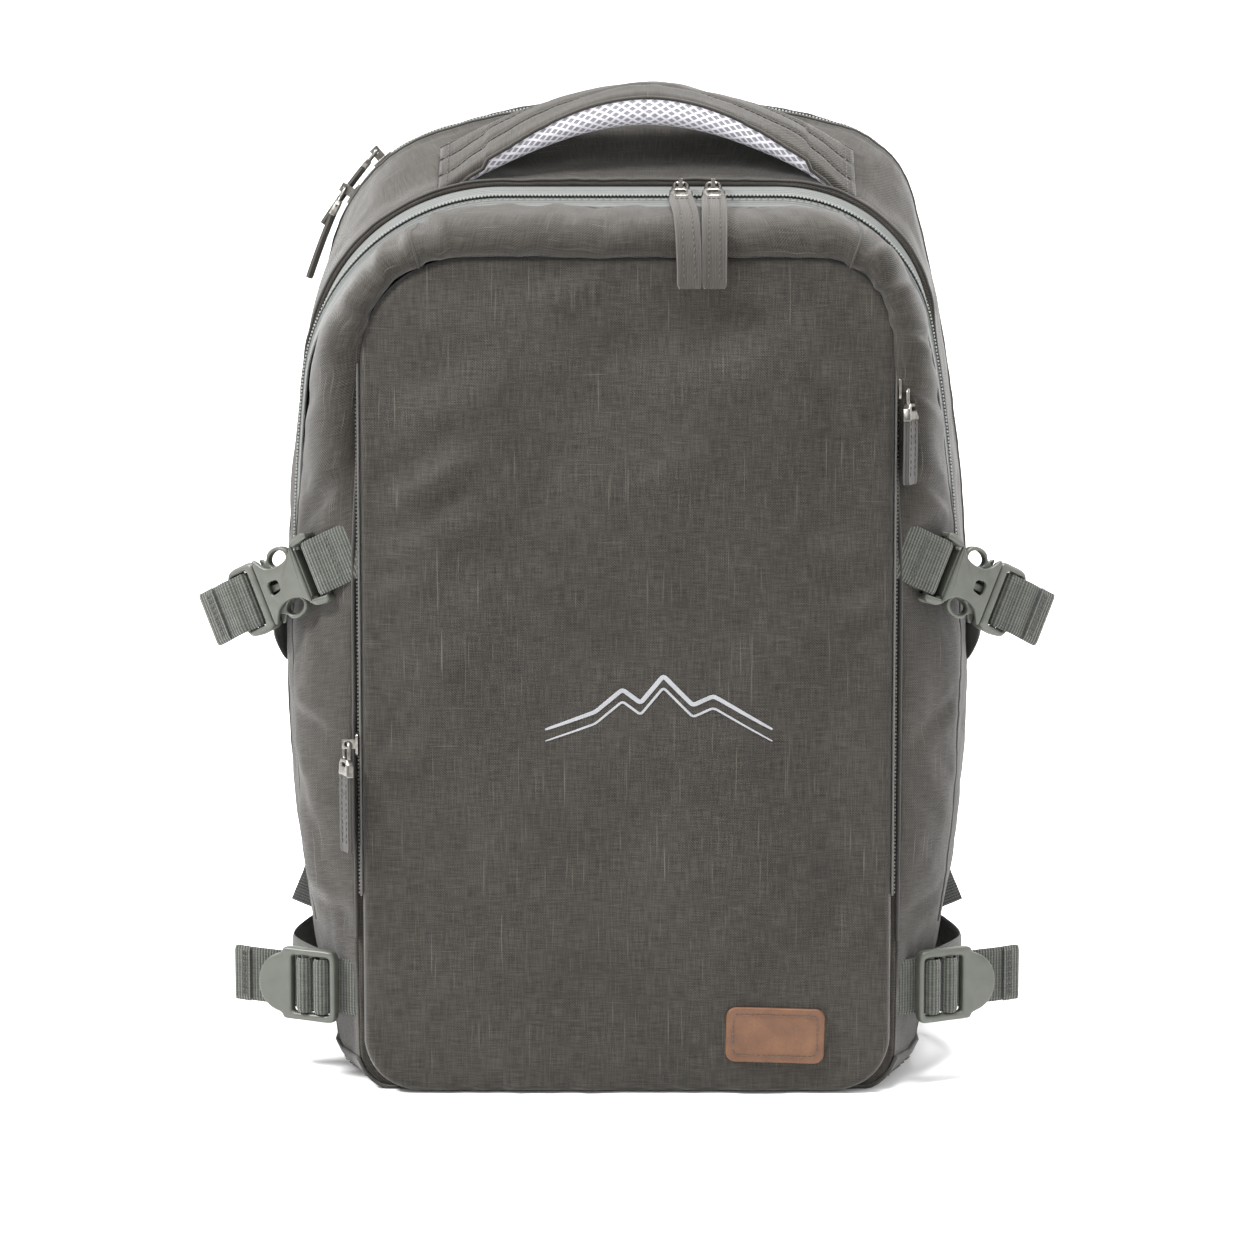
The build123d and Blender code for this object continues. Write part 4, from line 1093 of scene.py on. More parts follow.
def zip_side(name, outline, border, teeth, phase, lid, nodes):
    """One tape and its row of teeth; border is where the cloth covers it and teeth is the closing line."""
    ring, normal = above(outline, SPLIT - 3)
    inward = math.copysign(1, teeth - border)
    ys = border + (teeth - border) * np.array([-0.28, 0.0, 0.2, 0.42, 0.60, 0.66, 0.72, 0.84, 0.93])
    drops = np.array([-1.7, -1.3, -1.0, -0.95, -0.95, -0.75, -0.3, -0.12, -0.35])
    lean = zip_lean(ys[:, None], ring[None, :, 1]) if abs(teeth - FRONT_ZIP_Y) < 1 else 0
    xz = ring[None] + normal[None] * (drops[:, None] + lean)[..., None]
    points = np.stack([xz[..., 0], np.broadcast_to(ys[:, None], xz.shape[:2]), xz[..., 1]], axis=2)
    sewing = Sewing()
    sewing.grid(points, turn=inward > 0)
    tape = thicken(sewing.make(name + "_tape_cloth", [tape_cloth, tape_cloth], merge=0.005), 0.8,
        lining=False)
    rows = Sewing()
    s = arc_lengths(ring)
    pitch, reach = 1.6, 2.3
    spots = np.arange(phase * pitch, s[-1], 2 * pitch)
    x, z = np.interp(spots, s, ring[:, 0]), np.interp(spots, s, ring[:, 1])
    nx, nz = np.interp(spots, s, normal[:, 0]), np.interp(spots, s, normal[:, 1])
    for px, pz, ax, az in zip(x, z, nx, nz):
        up, along = np.array([ax, 0, az]), np.array([az, 0, -ax])
        root = np.array([px, teeth - inward * (reach - 0.6), pz]) + up * 0.0
        tip = np.array([px, teeth + inward * 0.9, pz]) + up * 0.0
        middle = (root + tip) / 2 + up * 0.42
        tube_mesh(rows, np.array([root, root * 0.5 + middle * 0.5 + up * 0.12, middle,
            tip * 0.5 + middle * 0.5 + up * 0.12, tip]),
                  np.array([0.35, 0.52, 0.58, 0.55, 0.34]), sides=6, up=along)
    coil = rows.make(name + "_teeth", coil_plastic)
    for piece in (tape, coil):
        if lid:
            lid_blend(piece)
        else:
            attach(piece, "bag_body")
    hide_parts(*nodes)


zip_side("front_zip_front", front_outline, FRONT_ZIP_FRONT, FRONT_ZIP_Y, 0, "front_lid",
    ["front_zip_front_tape"])
zip_side("front_zip_rear", front_outline, FRONT_ZIP_REAR, FRONT_ZIP_Y, 1, None, ["front_zip_rear_tape"])
zip_side("rear_zip_front", rear_outline, REAR_ZIP_FRONT, REAR_ZIP_Y, 0, None, ["rear_zip_front_tape"])
zip_side("rear_zip_rear", rear_outline, REAR_ZIP_REAR, REAR_ZIP_Y, 1, "back_lid", ["rear_zip_rear_tape"])


# ---- front face and pocket -----------------------------------------------------------------


def pocket_border():
    """The pocket's outline: square-cut sides, round top corners and small foot corners."""
    half, foot, head = POCKET_HALF, POCKET_LOW - 4.0, POCKET_TOP
    loop = rounded_loop([(-half, foot), (half, foot), (half, head), (-half, head)], [22, 22, 32, 42], 14)
    return resample(np.vstack([loop, loop[:1]]), 3.0)[:-1]


def pocket_relief(x, z):
    """How far the pocket's cloth stands forward of its flat face."""
    depth = np.minimum(np.minimum(POCKET_HALF - np.abs(x), POCKET_TOP - z), z - POCKET_LOW)
    calm = smooth(depth, 2, 34)
    rise = np.clip((z - POCKET_LOW) / (POCKET_TOP - POCKET_LOW), 0, 1)
    relief = 1.5 * smooth(depth, 0, 70) + 5.0 * np.sin(np.pi * rise**1.6) * smooth(depth, 0, 60)
    upper = 0.55 + 0.45 * smooth(z, 120, 260)
    relief = relief + layered_noise(x + z * 0.35, z - x * 0.2, 74, 301) * 3.4 * calm * upper
    relief = relief + layered_noise(x * 1.2 + z * 0.9, z - x * 0.6, 30, 321, 2) * 0.6 * calm * upper
    folds = (
        ((-110, 258), (-62, 292), 7.0, 1.3), ((-112, 240), (-58, 262), 9.0, 1.1),
        ((-113, 226), (-82, 232), 5.0, 0.9),
        ((-106, 205), (-70, 192), 6.0, 0.8), ((-100, 300), (-50, 318), 11.0, 0.8),
        ((-112, 148), (-84, 156), 6.0, 0.8),
        ((-108, 132), (-70, 118), 8.0, 0.6), ((112, 236), (84, 250), 7.0, 0.8),
        ((113, 222), (92, 216), 5.0, 0.6),
        ((108, 300), (86, 330), 8.0, 0.9), ((70, 352), (40, 366), 7.0, 0.7),
        ((-40, 352), (-6, 368), 8.0, 0.7),
        ((96, 60), (112, 96), 7.0, 0.5), ((-112, 62), (-92, 48), 6.0, 0.6),
        ((20, 330), (64, 318), 12.0, 0.5),
    )
    for start, end, width, height in folds:
        relief = relief + fold(x, z, start, end, width, height * 3.0)
    edge = seam_pucker(x * 0.9 + z, depth, 7.0, 333) * 0.8
    return relief + edge


def pocket_object():
    border = pocket_border()
    flat, depth, faces = flat_panel(border, 3.0)
    rounding = 3.2
    drop = np.where(depth < rounding, rounding - np.sqrt(np.maximum(rounding**2 - (rounding - depth) ** 2,
        0)), 0)
    y = POCKET_Y + drop - pocket_relief(flat[:, 0], flat[:, 1]) * smooth(depth, 0, 4)
    sewing = Sewing()
    sewing.add(np.column_stack([flat[:, 0], y, flat[:, 1]]), faces, flat)
    normal = outward(np.vstack([border, border[:1]]))[:-1]
    wall = []
    walks = (0.0, 1.6, 3.2, 4.6)
    for walk, push in zip(walks, (0.0, 0.35, 0.3, -0.6)):
        xz = border + normal * push
        wall.append(np.column_stack([xz[:, 0], np.full(len(xz), POCKET_Y + rounding + walk), xz[:, 1]]))
    wall_weave = np.array([border + normal * walk for walk in walks])
    sewing.grid(np.array(wall), wall_weave, turn=True, closed=True)
    pocket = sewing.make("pocket_panel", [shell, lining], merge=0.05)
    thicken(pocket, 1.2)
    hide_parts("front_pocket", "front_pocket_lower")
    return lid_blend(pocket)


def front_face_object():
    """The sheet behind the pocket, seen as a narrow margin round it."""
    ring = resample(edge_outline, 4.0)[:-1]
    ring = ring - outward(np.vstack([ring, ring[:1]]))[:-1] * 0.6
    flat, _, faces = flat_panel(ring, 7.0, (1.5, 3.5, 7.0))
    y = FACE_Y + 1.2 + layered_noise(flat[:, 0], flat[:, 1], 60, 401) * 0.4
    sewing = Sewing()
    sewing.add(np.column_stack([flat[:, 0], y, np.maximum(flat[:, 1], 1.0)]), faces, flat)
    face = thicken(sewing.make("front_face_sheet", [shell, lining]), 1.4)
    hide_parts("front_face")
    return lid_blend(face)


pocket_object()
front_face_object()


def pocket_zips():
    """Narrow tapes and fine teeth along both upright sides of the pocket."""
    for side, name in ((-1, "left"), (1, "right")):
        node = f"pocket_zip_{name}"
        z0, z1 = low(node)[2], high(node)[2]
        x = side * (POCKET_HALF + 0.9)
        middle = (POCKET_Y + FACE_Y) / 2
        path = np.array([[x, middle, z] for z in np.linspace(z0, z1, 60)])
        tape = strap(f"{node}_cloth", path, (0, 1, 0), 6.4, 0.9, dark_tape)
        fix(tape, "zip_tape", "front_lid", node)
        rows = Sewing()
        for k, z in enumerate(np.arange(z0 + 1, z1 - 1, 1.7)):
            shift = 0.3 if k % 2 else -0.3
            ends = np.array([[x + side * 0.5, middle + shift - 1.1, z],
                [x + side * 0.9, middle + shift, z], [x + side * 0.5, middle + shift + 1.1, z]])
            tube_mesh(rows, ends, np.array([0.35, 0.55, 0.35]), sides=6)
        fix(rows.make(f"{node}_teeth", dark_coil), "zip_tape", "front_lid")


pocket_zips()


# ---- leather patch and print ---------------------------------------------------------------


def patch_objects():
    lo, hi = low("leather_patch"), high("leather_patch")
    centre = (lo + hi) / 2
    tilt = math.radians(1.6)
    turn = np.array([[math.cos(tilt), math.sin(tilt)], [-math.sin(tilt), math.cos(tilt)]])
    half = np.array([44.0, 25.0]) / 2
    loop = rounded_loop([(-half[0], -half[1]), (half[0], -half[1]), half, (-half[0], half[1])], 4.0, 10)
    border = resample(np.vstack([loop, loop[:1]]), 0.9)[:-1]
    flat, depth, faces = flat_panel(border, 1.1, (0.25, 0.55, 0.95, 1.4))
    dome = -np.sqrt(np.clip(1 - (1 - np.clip(depth / 0.9, 0, 1)) ** 2, 0, 1)) * 0.9
    inset = np.exp(-(((depth - 3.2) / 0.7) ** 2)) * 0.22
    y = lo[1] + 0.9 + dome + inset + layered_noise(flat[:, 0], flat[:, 1], 9, 501) * 0.06
    sewing = Sewing()

    def placed(points, ys):
        xz = points @ turn.T + centre[[0, 2]]
        return np.column_stack([xz[:, 0], ys, xz[:, 1]])

    y = y - pocket_relief(*(flat @ turn.T + centre[[0, 2]]).T) * 0.9
    sewing.add(placed(flat, y), faces, flat)
    relief = pocket_relief(*(border @ turn.T + centre[[0, 2]]).T) * 0.9
    ring = [placed(border, lo[1] + 0.9 - relief + k) for k in (0.0, 0.5, 1.2)]
    sewing.grid(np.array(ring), np.array([border] * 3), turn=True, closed=True)
    patch = sewing.make("patch_leather", leather, merge=0.02, smooth_angle=50)
    fix(patch, "leather", "bag_body", "leather_patch")
    inner = rounded_loop([(-half[0] + 3.2, -half[1] + 3.2), (half[0] - 3.2, -half[1] + 3.2), half - 3.2,
        (-half[0] + 3.2, half[1] - 3.2)], 2.5, 8)
    line = resample(np.vstack([inner, inner[:1]]), 0.6)
    relief = pocket_relief(*(line @ turn.T + centre[[0, 2]]).T) * 0.9
    threads = Sewing()
    stitch_mesh(threads, placed(line, lo[1] + 0.12 - relief), (0, -1, 0), pitch=2.3, length=1.7,
        radius=0.26)
    fix(threads.make("patch_stitches", brown_thread), "leather", "bag_body")


patch_objects()


def print_object():
    """A plain silver ridge line, printed on the pocket."""
    peaks = [(-36, 166), (-14, 174), (-2, 184), (6, 178), (16, 190), (29, 177), (38, 181), (64, 166)]
    sewing = Sewing()
    for shift, width in ((0.0, 2.0), (-5.2, 1.1)):
        path = resample(np.array(peaks, float) + [0, shift], 0.8)
        for _ in range(3):
            path[1:-1] = (path[:-2] + path[1:-1] * 2 + path[2:]) / 4
        y = POCKET_Y - pocket_relief(path[:, 0], path[:, 1]) - 0.12
        points = np.column_stack([path[:, 0], y, path[:, 1]])
        taper = 0.35 + 0.65 * np.sin(np.pi * np.linspace(0, 1, len(path))) ** 0.4
        strap_mesh(sewing, points, (0, 0, 1), width, 0.16, widths=taper)
    fix(sewing.make("silver_print", print_ink, merge=0.01), "shell_fabric", "front_lid")


print_object()


# ---- straps and buckles --------------------------------------------------------------------
MIRROR = np.array([-1.0, 1.0, 1.0])
WEBBING = 25.0
PIVOT_U = 31.7  # the prongs' pivots along the buckle's own plane


class StrapPlane:
    """A strap's own plane on the left (side -1), or its mirror image: u along it, v down, w off the bag."""

    def __init__(self, origin, along, outward_side, side):
        self.origin, self.side = np.asarray(origin, float), side
        self.u = unit(along)
        w = np.asarray(outward_side, float)
        self.w = unit(w - self.u * (w @ self.u))
        self.v = np.cross(self.w, self.u)

    def at(self, points):
        p = np.atleast_2d(np.asarray(points, float))
        return self.flip(self.origin + p[:, :1] * self.u + p[:, 1:2] * self.v + p[:, 2:3] * self.w)

    def flip(self, points):
        return points if self.side < 0 else points * MIRROR

    def path(self, points, step=1.2):
        """A smooth path from (u, w) pairs."""
        curve = spline(points, step)
        return self.at(np.column_stack([curve[:, 0], np.zeros(len(curve)), curve[:, 1]]))

    def across(self):
        return self.flip(self.v[None])[0]

    def matrix(self):
        return plane_matrix(*(self.flip(part) for part in (self.origin, self.u, self.v, self.w)))


def upper_plane(side):
    """The compression buckle's plane, from its own joints."""
    name = "left" if side < 0 else "right"
    mirror = 1 if side < 0 else MIRROR
    along = mirror * np.array(joints[f"buckle_{name}_release"]["axis"], float)
    squeezes = [joints[f"prong_{k}_{name}_squeeze"]["pos_m"] for k in ("upper", "lower")]
    pivots = [mirror * np.array(place, float) / MM for place in squeezes]
    down = unit(pivots[1] - pivots[0])
    return StrapPlane(sum(pivots) / 2 - unit(along) * PIVOT_U, along, np.cross(along, down), side)


def lower_plane(side):
    name = "left" if side < 0 else "right"
    origin = np.array(joints[f"ladder_lock_{name}_tilt"]["pos_m"], float) / MM
    origin = origin if side < 0 else origin * MIRROR
    turn = math.radians(26.0)
    along = np.array([-math.cos(turn), math.sin(turn), 0])
    return StrapPlane(origin, along, (-math.sin(turn), -math.cos(turn), 0), side)


def mirrored_faces(obj, side):
    """Mirrored plates turn inside out, so their faces are turned back."""
    if side > 0:
        obj.data.flip_normals()
    return obj


def both_sides(half):
    """Closes a half outline, given for v above 0, by its mirror image."""
    half = np.asarray(half, float)
    return np.vstack([half, half[::-1] * [1, -1]])


def female_buckle(plane, name):
    """Socket: two shells with horned shoulders and side windows, arms, guide ribs and the webbing bar."""
    outer = spline([
        (-2.0, 15.6), (-0.4, 16.5), (3.0, 16.4), (6.4, 15.2), (9.0, 12.2), (12.0, 9.4), (16.0, 8.2),
        (21.0, 8.3),
        (25.0, 9.8), (27.8, 12.8), (29.6, 15.2), (30.8, 15.2), (31.0, 13.0),
    ], 0.7)
    inner = np.array([(7.4, 13.0), (0.0, 13.3), (-2.0, 13.5)])
    half = np.vstack([[(31.0, 0.0)], outer[::-1], inner[::-1]])
    loop = both_sides(half[1:])
    eye = rounded_loop([(20.5, -2.6), (26.5, -3.4), (26.5, 3.4), (20.5, 2.6)], 1.6, 6)
    pieces = []
    for w, tag in ((3.45, "outer"), (-3.45, "inner")):
        place = plane.matrix() @ Matrix.Translation((0, 0, w * MM))

        def shape(points, w=w):
            swell = 1 - 0.22 * np.clip((np.abs(points[:, 1]) - 6) / 10, 0, 1) ** 2
            points[:, 2] = (points[:, 2] + w) * swell - w
            return points

        pieces.append(plate_object(f"socket_shell_{tag}_{name}", [loop] + ([eye] if w > 0 else []), 2.3,
            0.7, plastic, place, shape))
    root = rounded_loop([(6.6, -12.6), (10.4, -9.0), (10.4, 9.0), (6.6, 12.6)], 1.5, 6)
    pieces.append(plate_object(f"socket_root_{name}", [root], 5.4, 0.4, plastic, plane.matrix()))
    for v in (-1, 1):
        arm = rounded_loop([(-1.9, v * 13.5), (-1.9, v * 16.2), (5.6, v * 15.4), (8.4, v * 12.2)], 0.9, 5)
        pieces.append(plate_object(f"socket_arm_{'low' if v > 0 else 'high'}_{name}", [arm], 8.2, 1.0,
            plastic, plane.matrix()))
        rib = rounded_loop([(24.5, v * 3.6), (30.6, v * 3.6), (30.6, v * 5.0), (24.5, v * 5.0)], 0.4, 4)
        pieces.append(plate_object(f"socket_rib_{'low' if v > 0 else 'high'}_{name}", [rib], 5.2, 0.3,
            plastic, plane.matrix()))
    bar = tube(f"socket_bar_{name}", plane.at([(0, v, 0) for v in np.linspace(-14.5, 14.5, 9)]), 1.5,
        plastic, sides=14)
    for piece in pieces:
        mirrored_faces(piece, plane.side)
        fix(piece, "buckle_plastic", "front_lid", f"buckle_female_{name}")
    fix(bar, "buckle_plastic", "front_lid", f"buckle_female_{name}")


def male_buckle(plane, name):
    """Insert: a rounded frame round the webbing window, its bar, and the guide tongue."""
    body = f"buckle_male_{name}"
    outer = both_sides(spline([
        (48.4, 0.0), (48.4, 6.0), (48.0, 11.6), (46.4, 14.9), (43.0, 16.0), (38.0, 16.0), (34.0, 15.8),
        (31.9, 14.6), (31.5, 12.6), (31.5, 6.0)
    ], 0.7))
    window = rounded_loop([(35.6, -13.2), (45.6, -13.2), (45.6, 13.2), (35.6, 13.2)], 1.8, 6)

    def shape(points):
        outside = np.clip((points[:, 0] - 44.5) / 4, 0, 1) + np.clip((np.abs(points[:, 1]) - 12.5) / 4, 0,
            1)
        points[:, 2] *= 1 - 0.24 * np.clip(outside, 0, 1)
        return points

    frame_piece = plate_object(f"insert_frame_{name}", [outer, window], 8.3, 1.5, plastic, plane.matrix(),
        shape, 4)
    tongue = plate_object(f"insert_tongue_{name}", [rounded_loop([(14.0, -1.2), (32.0, -2.0), (32.0, 2.0),
        (14.0, 1.2)], 0.8, 5)], 4.0, 0.6, plastic, plane.matrix())
    bar = tube(f"insert_bar_{name}", plane.at([(41.26, v, 0) for v in np.linspace(-14, 14, 9)]), 1.5,
        plastic, sides=14)
    for piece in (frame_piece, tongue):
        mirrored_faces(piece, plane.side)
    for piece in (frame_piece, tongue, bar):
        fix(piece, "buckle_plastic", body, body)
    for sign, which in ((-1, "upper"), (1, "lower")):
        centre = np.array([18.4, sign * 11.4])
        angles = np.radians(np.linspace(52, 308, 40)) * sign
        ring = centre + np.array([6.9, 5.3]) * np.stack([np.cos(angles), np.sin(angles)], axis=1)
        arm_in = [(23.6, sign * 8.6), (28.0, sign * 7.9), (31.0, sign * 7.8), (31.1, sign * 10.3)]
        arm_out = [(28.4, sign * 11.0), (24.4, sign * 13.2)]
        loop = np.vstack([ring, arm_in, arm_out])
        hole = centre + np.array([5.0, 3.5]) * np.stack([np.cos(np.linspace(0, 2 * math.pi, 30,
            endpoint=False)),
                                        np.sin(np.linspace(0, 2 * math.pi, 30, endpoint=False))], axis=1)
        prong = plate_object(f"prong_arm_{which}_{name}", [loop, hole], 4.0, 0.9, plastic, plane.matrix(),
            None, 4)
        mirrored_faces(prong, plane.side)
        fix(prong, "buckle_plastic", f"prong_{which}_{name}", f"prong_{which}_{name}")


def fold_end(name, plane, start, end, body, slot, cloth):
    """The doubled and stitched end of a webbing tail; start and end are (u, w)."""
    run = plane.path([start, ((start[0] + end[0]) / 2, (start[1] + end[1]) / 2), end], 1.0)
    lift = plane.flip(plane.w[None])[0]
    piece = strap(name, run + lift * 1.5, plane.across(), WEBBING, 1.5, cloth)
    fix(piece, slot, body)
    threads = Sewing()
    across = plane.across()
    for share in (0.3, 0.42):
        spot = run[0] * (1 - share) + run[-1] * share + lift * 2.3
        stitch_mesh(threads, np.array([spot + across * v for v in np.linspace(-11, 11, 12)]), lift,
            pitch=2.6, length=1.9)
    fix(threads.make(name + "_stitches", grey_thread), slot, body)


def compression_strap(side):
    name = "left" if side < 0 else "right"
    plane = upper_plane(side)
    female_buckle(plane, name)
    male_buckle(plane, name)
    front = plane.path([(-24, -1.2), (-18, 0.1), (-12, 0.8), (-6, 1.8), (-2.4, 2.9), (0.6, 3.0),
        (2.6, 1.5), (2.7, -1.2), (0.6, -2.9),
                        (-3.0, -2.5), (-8, -1.3), (-14, -0.9), (-18, -1.6), (-24, -2.8)], 0.8)
    fix(strap(f"socket_webbing_{name}", front, plane.across(), WEBBING, 1.5, webbing), "webbing",
        "front_lid", f"compression_front_{name}")
    threads = Sewing()
    lift = plane.flip(plane.w[None])[0]
    for u, w in ((-11.5, 1.6), (-10.2, 1.85)):
        stitch_mesh(threads, plane.at([(u, v, w) for v in np.linspace(-11, 11, 12)]), lift, pitch=2.6,
            length=1.9)
    fix(threads.make(f"socket_webbing_stitches_{name}", grey_thread), "webbing", "front_lid")
    tail = plane.path([(38.9, -8.4), (37.9, -5.0), (37.6, -1.0), (39.0, 2.4), (41.5, 3.3), (44.0, 3.5),
        (46.0, 4.9), (48.6, 5.5),
                       (53, 5.0), (58, 4.3), (63.4, 4.1)], 0.8)
    body = f"buckle_male_{name}"
    fix(strap(f"compression_tail_webbing_{name}", tail, plane.across(), WEBBING, 1.5, webbing), "webbing",
        body, f"compression_tail_{name}")
    fold_end(f"compression_tail_end_{name}", plane, (55.0, 4.7), (63.4, 4.1), body, "webbing", webbing)
    rear_y = REAR_ZIP_FRONT - 5
    z = 193.0
    anchor = np.array([-(side_x(rear_y, z) + 1.9), rear_y, z])
    near = plane.flip(plane.at([(39.3, 0, -8.2), (36.5, 0, -10.6)]))
    middle = (anchor + near[1]) / 2 + [-1.5, -2.0, 0.5]
    path = plane.flip(spline([anchor + [3.4, 3.5, 0.0], anchor, middle, near[1], near[0]], 1.5))
    lean = np.array([side, 0, 0.0])
    across = np.cross(unit(np.gradient(path, axis=0)), lean)
    rear = strap(f"compression_rear_webbing_{name}", path, across, WEBBING, 1.5, webbing)
    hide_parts(f"compression_rear_{name}")
    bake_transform(rear)


def lower_strap(side):
    name = "left" if side < 0 else "right"
    plane = lower_plane(side)
    body = f"ladder_lock_{name}"
    window = rounded_loop([(-4.3, -13.1), (15.4, -13.1), (15.4, 13.1), (-4.3, 13.1)], 1.4, 5)
    outer = both_sides(np.vstack([spline([
        (31.0, 0.0), (30.4, 4.6), (28.6, 8.6), (25.4, 11.8), (21.6, 13.6), (20.4, 14.4), (19.6, 15.9),
        (17.6, 16.5), (9.0, 16.5),
        (-2.0, 16.5), (-5.6, 15.9), (-6.9, 13.8),
    ], 0.8), [(-7.1, 11.0), (-7.1, 5.0)]]))

    def shape(points):
        thumb = np.clip((points[:, 0] - 16.5) / 14, 0, 1)
        points[:, 2] = points[:, 2] * (1 - 0.35 * thumb) + 3.0 * thumb**1.5
        return points

    lock = plate_object(f"ladder_frame_{name}", [outer, window], 4.9, 1.3, plastic, plane.matrix(), shape,
        4)
    mirrored_faces(lock, side)
    fix(lock, "buckle_plastic", body, body)
    for u in (0.0, 9.0):
        fix(tube(f"ladder_bar_{int(u)}_{name}", plane.at([(u, v, 0) for v in np.linspace(-14, 14, 9)]),
            1.5, plastic, sides=14, up=(0, 1, 0)), "buckle_plastic", body)
    front = plane.path([(-22, -3.0), (-15, -3.2), (-9, -3.7), (-5.2, -3.4), (-3.2, -0.6), (-1.8, 2.4),
        (0.8, 3.2), (3.0, 2.0),
                        (3.7, -0.6), (2.2, -3.4), (-2.6, -5.6), (-9, -5.6), (-15, -5.0), (-22, -4.8)], 0.8)
    fix(strap(f"ladder_webbing_{name}", front, plane.across(), WEBBING, 1.5, webbing), "webbing",
        "bag_body", f"lower_strap_{name}")
    tail = plane.path([(4.8, -7.4), (5.0, -4.0), (5.7, 0.0), (7.4, 3.1), (10.0, 3.4), (12.2, 1.4),
        (13.0, -2.0), (16.0, -4.7),
                       (22, -6.1), (30, -6.4), (38, -6.4), (49.3, -7.3)], 0.8)
    fix(strap(f"lower_tail_webbing_{name}", tail, plane.across(), WEBBING, 1.5, webbing), "webbing", body,
        f"lower_tail_{name}")
    fold_end(f"lower_tail_end_{name}", plane, (41.0, -6.6), (49.3, -7.3), body, "webbing", webbing)
    rear_y = REAR_ZIP_FRONT - 5
    anchor = np.array([-(side_x(rear_y, 57) + 3.6), rear_y, LOW_STRAP_Z])
    near = plane.flip(plane.at([(5.0, 0, -7.6), (3.6, 0, -10.4)]))
    middle = (anchor * 0.62 + near[1] * 0.38) + [-10.0, -3.0, -1.5]
    path = plane.flip(spline([anchor + [4.6, 3.5, 0.0], anchor, middle, near[1], near[0]], 1.5))
    rear = strap(f"lower_rear_webbing_{name}", path, np.cross(unit(np.gradient(path, axis=0)),
        (side, 0, 0.0)), WEBBING, 1.5, webbing)
    fix(rear, "webbing", "bag_body")


for strap_side in (-1, 1):
    compression_strap(strap_side)
    lower_strap(strap_side)


# ---- sliders and pulls ---------------------------------------------------------------------


def pull(name, body, pivot, across, path, node):
    """A wire loop on the slider, a slotted clamp, and a folded and stitched tab along the path."""
    path = np.asarray(path, float)
    across = unit(across)
    hang = unit(path[1] - path[0])
    metal = Sewing()
    reach = 8.2
    ring = []
    for angle in np.linspace(0, 2 * math.pi, 36, endpoint=False):
        c, s = math.cos(angle), math.sin(angle)
        flat_c, flat_s = math.copysign(abs(c) ** 0.7, c), math.copysign(abs(s) ** 0.7, s)
        ring.append(pivot + hang * (reach / 2 - 0.4 + flat_c * (reach / 2 + 0.2)) + across * flat_s * 2.9)
    tube_mesh(metal, np.array(ring), 0.85, sides=10, closed=True, up=np.cross(across, hang))
    fix(metal.make(name + "_loop", nickel, merge=0.01), "nickel", body, node)
    normal = unit(np.cross(hang, across))
    if normal[1] > 0.2 or (abs(normal[1]) < 0.2 and normal[2] < 0):
        normal = -normal
    place = plane_matrix(pivot + hang * 7.6, hang, across, np.cross(hang, across))
    clamp = [(-1.0, -3.2), (-1.0, 3.2), (1.4, 5.1), (6.4, 5.3), (7.2, 4.6), (6.6, 3.9), (6.6, -3.9),
        (7.2, -4.6), (6.4, -5.3), (1.4, -5.1)]
    slot_hole = rounded_loop([(0.9, -2.2), (2.3, -2.6), (2.3, 2.6), (0.9, 2.2)], 0.5, 4)
    fix(plate_object(name + "_clamp", [rounded_loop(clamp, 0.6, 4), slot_hole], 3.5, 0.7, nickel, place),
        "nickel", body)
    curve = spline(path, 1.0)
    start = np.argmax(arc_lengths(curve) > 9.5)
    run = curve[start:]
    shape = 1 - 0.10 * np.exp(-arc_lengths(run) / 5.0)
    shape[-3:] *= np.array([0.99, 0.94, 0.82])
    # The pocket pulls take the darker tab cloth, which is painted shade.
    cloth = shaded_pocket_tab_cloth if body.startswith("pocket") else tab_cloth
    tab = strap(name + "_tab", run, across, 11.2, 2.2, cloth, edge=0.38, widths=shape)
    fix(tab, "pull_tab", body)
    threads = Sewing()
    along = unit(np.gradient(run, axis=0))
    normals = np.cross(along, across)
    facing = np.sign(np.sum(normals * normal, axis=1, keepdims=True))
    normals = normals * np.where(facing == 0, 1, facing)
    for offset in (-2.4, 2.4):
        stitch_mesh(threads, run[4:-3] + across * offset + normals[4:-3] * 1.05, normals[4:-3], pitch=2.8,
            length=1.9, radius=0.22)
    spot = min(12, len(run) - 4)
    line = np.array([run[spot] + across * v + normals[spot] * 1.1 for v in np.linspace(-3.4, 3.4, 6)])
    stitch_mesh(threads, line, normals[spot], pitch=2.2, length=1.6, radius=0.22)
    fix(threads.make(name + "_stitches", grey_thread), "pull_tab", body)


def slider_cap(name, body, centre, along, up, across):
    """The raised oval bridge on a slider's top plate."""
    ring = []
    for angle in np.linspace(-0.15 * math.pi, 1.15 * math.pi, 30):
        ring.append(centre + along * math.cos(angle) * 3.4 + up * (math.sin(angle) * 2.5 + 0.9))
    cap = tube(name + "_bridge", np.array(ring), 0.75, nickel, sides=10, up=across)
    fix(cap, "nickel", body)


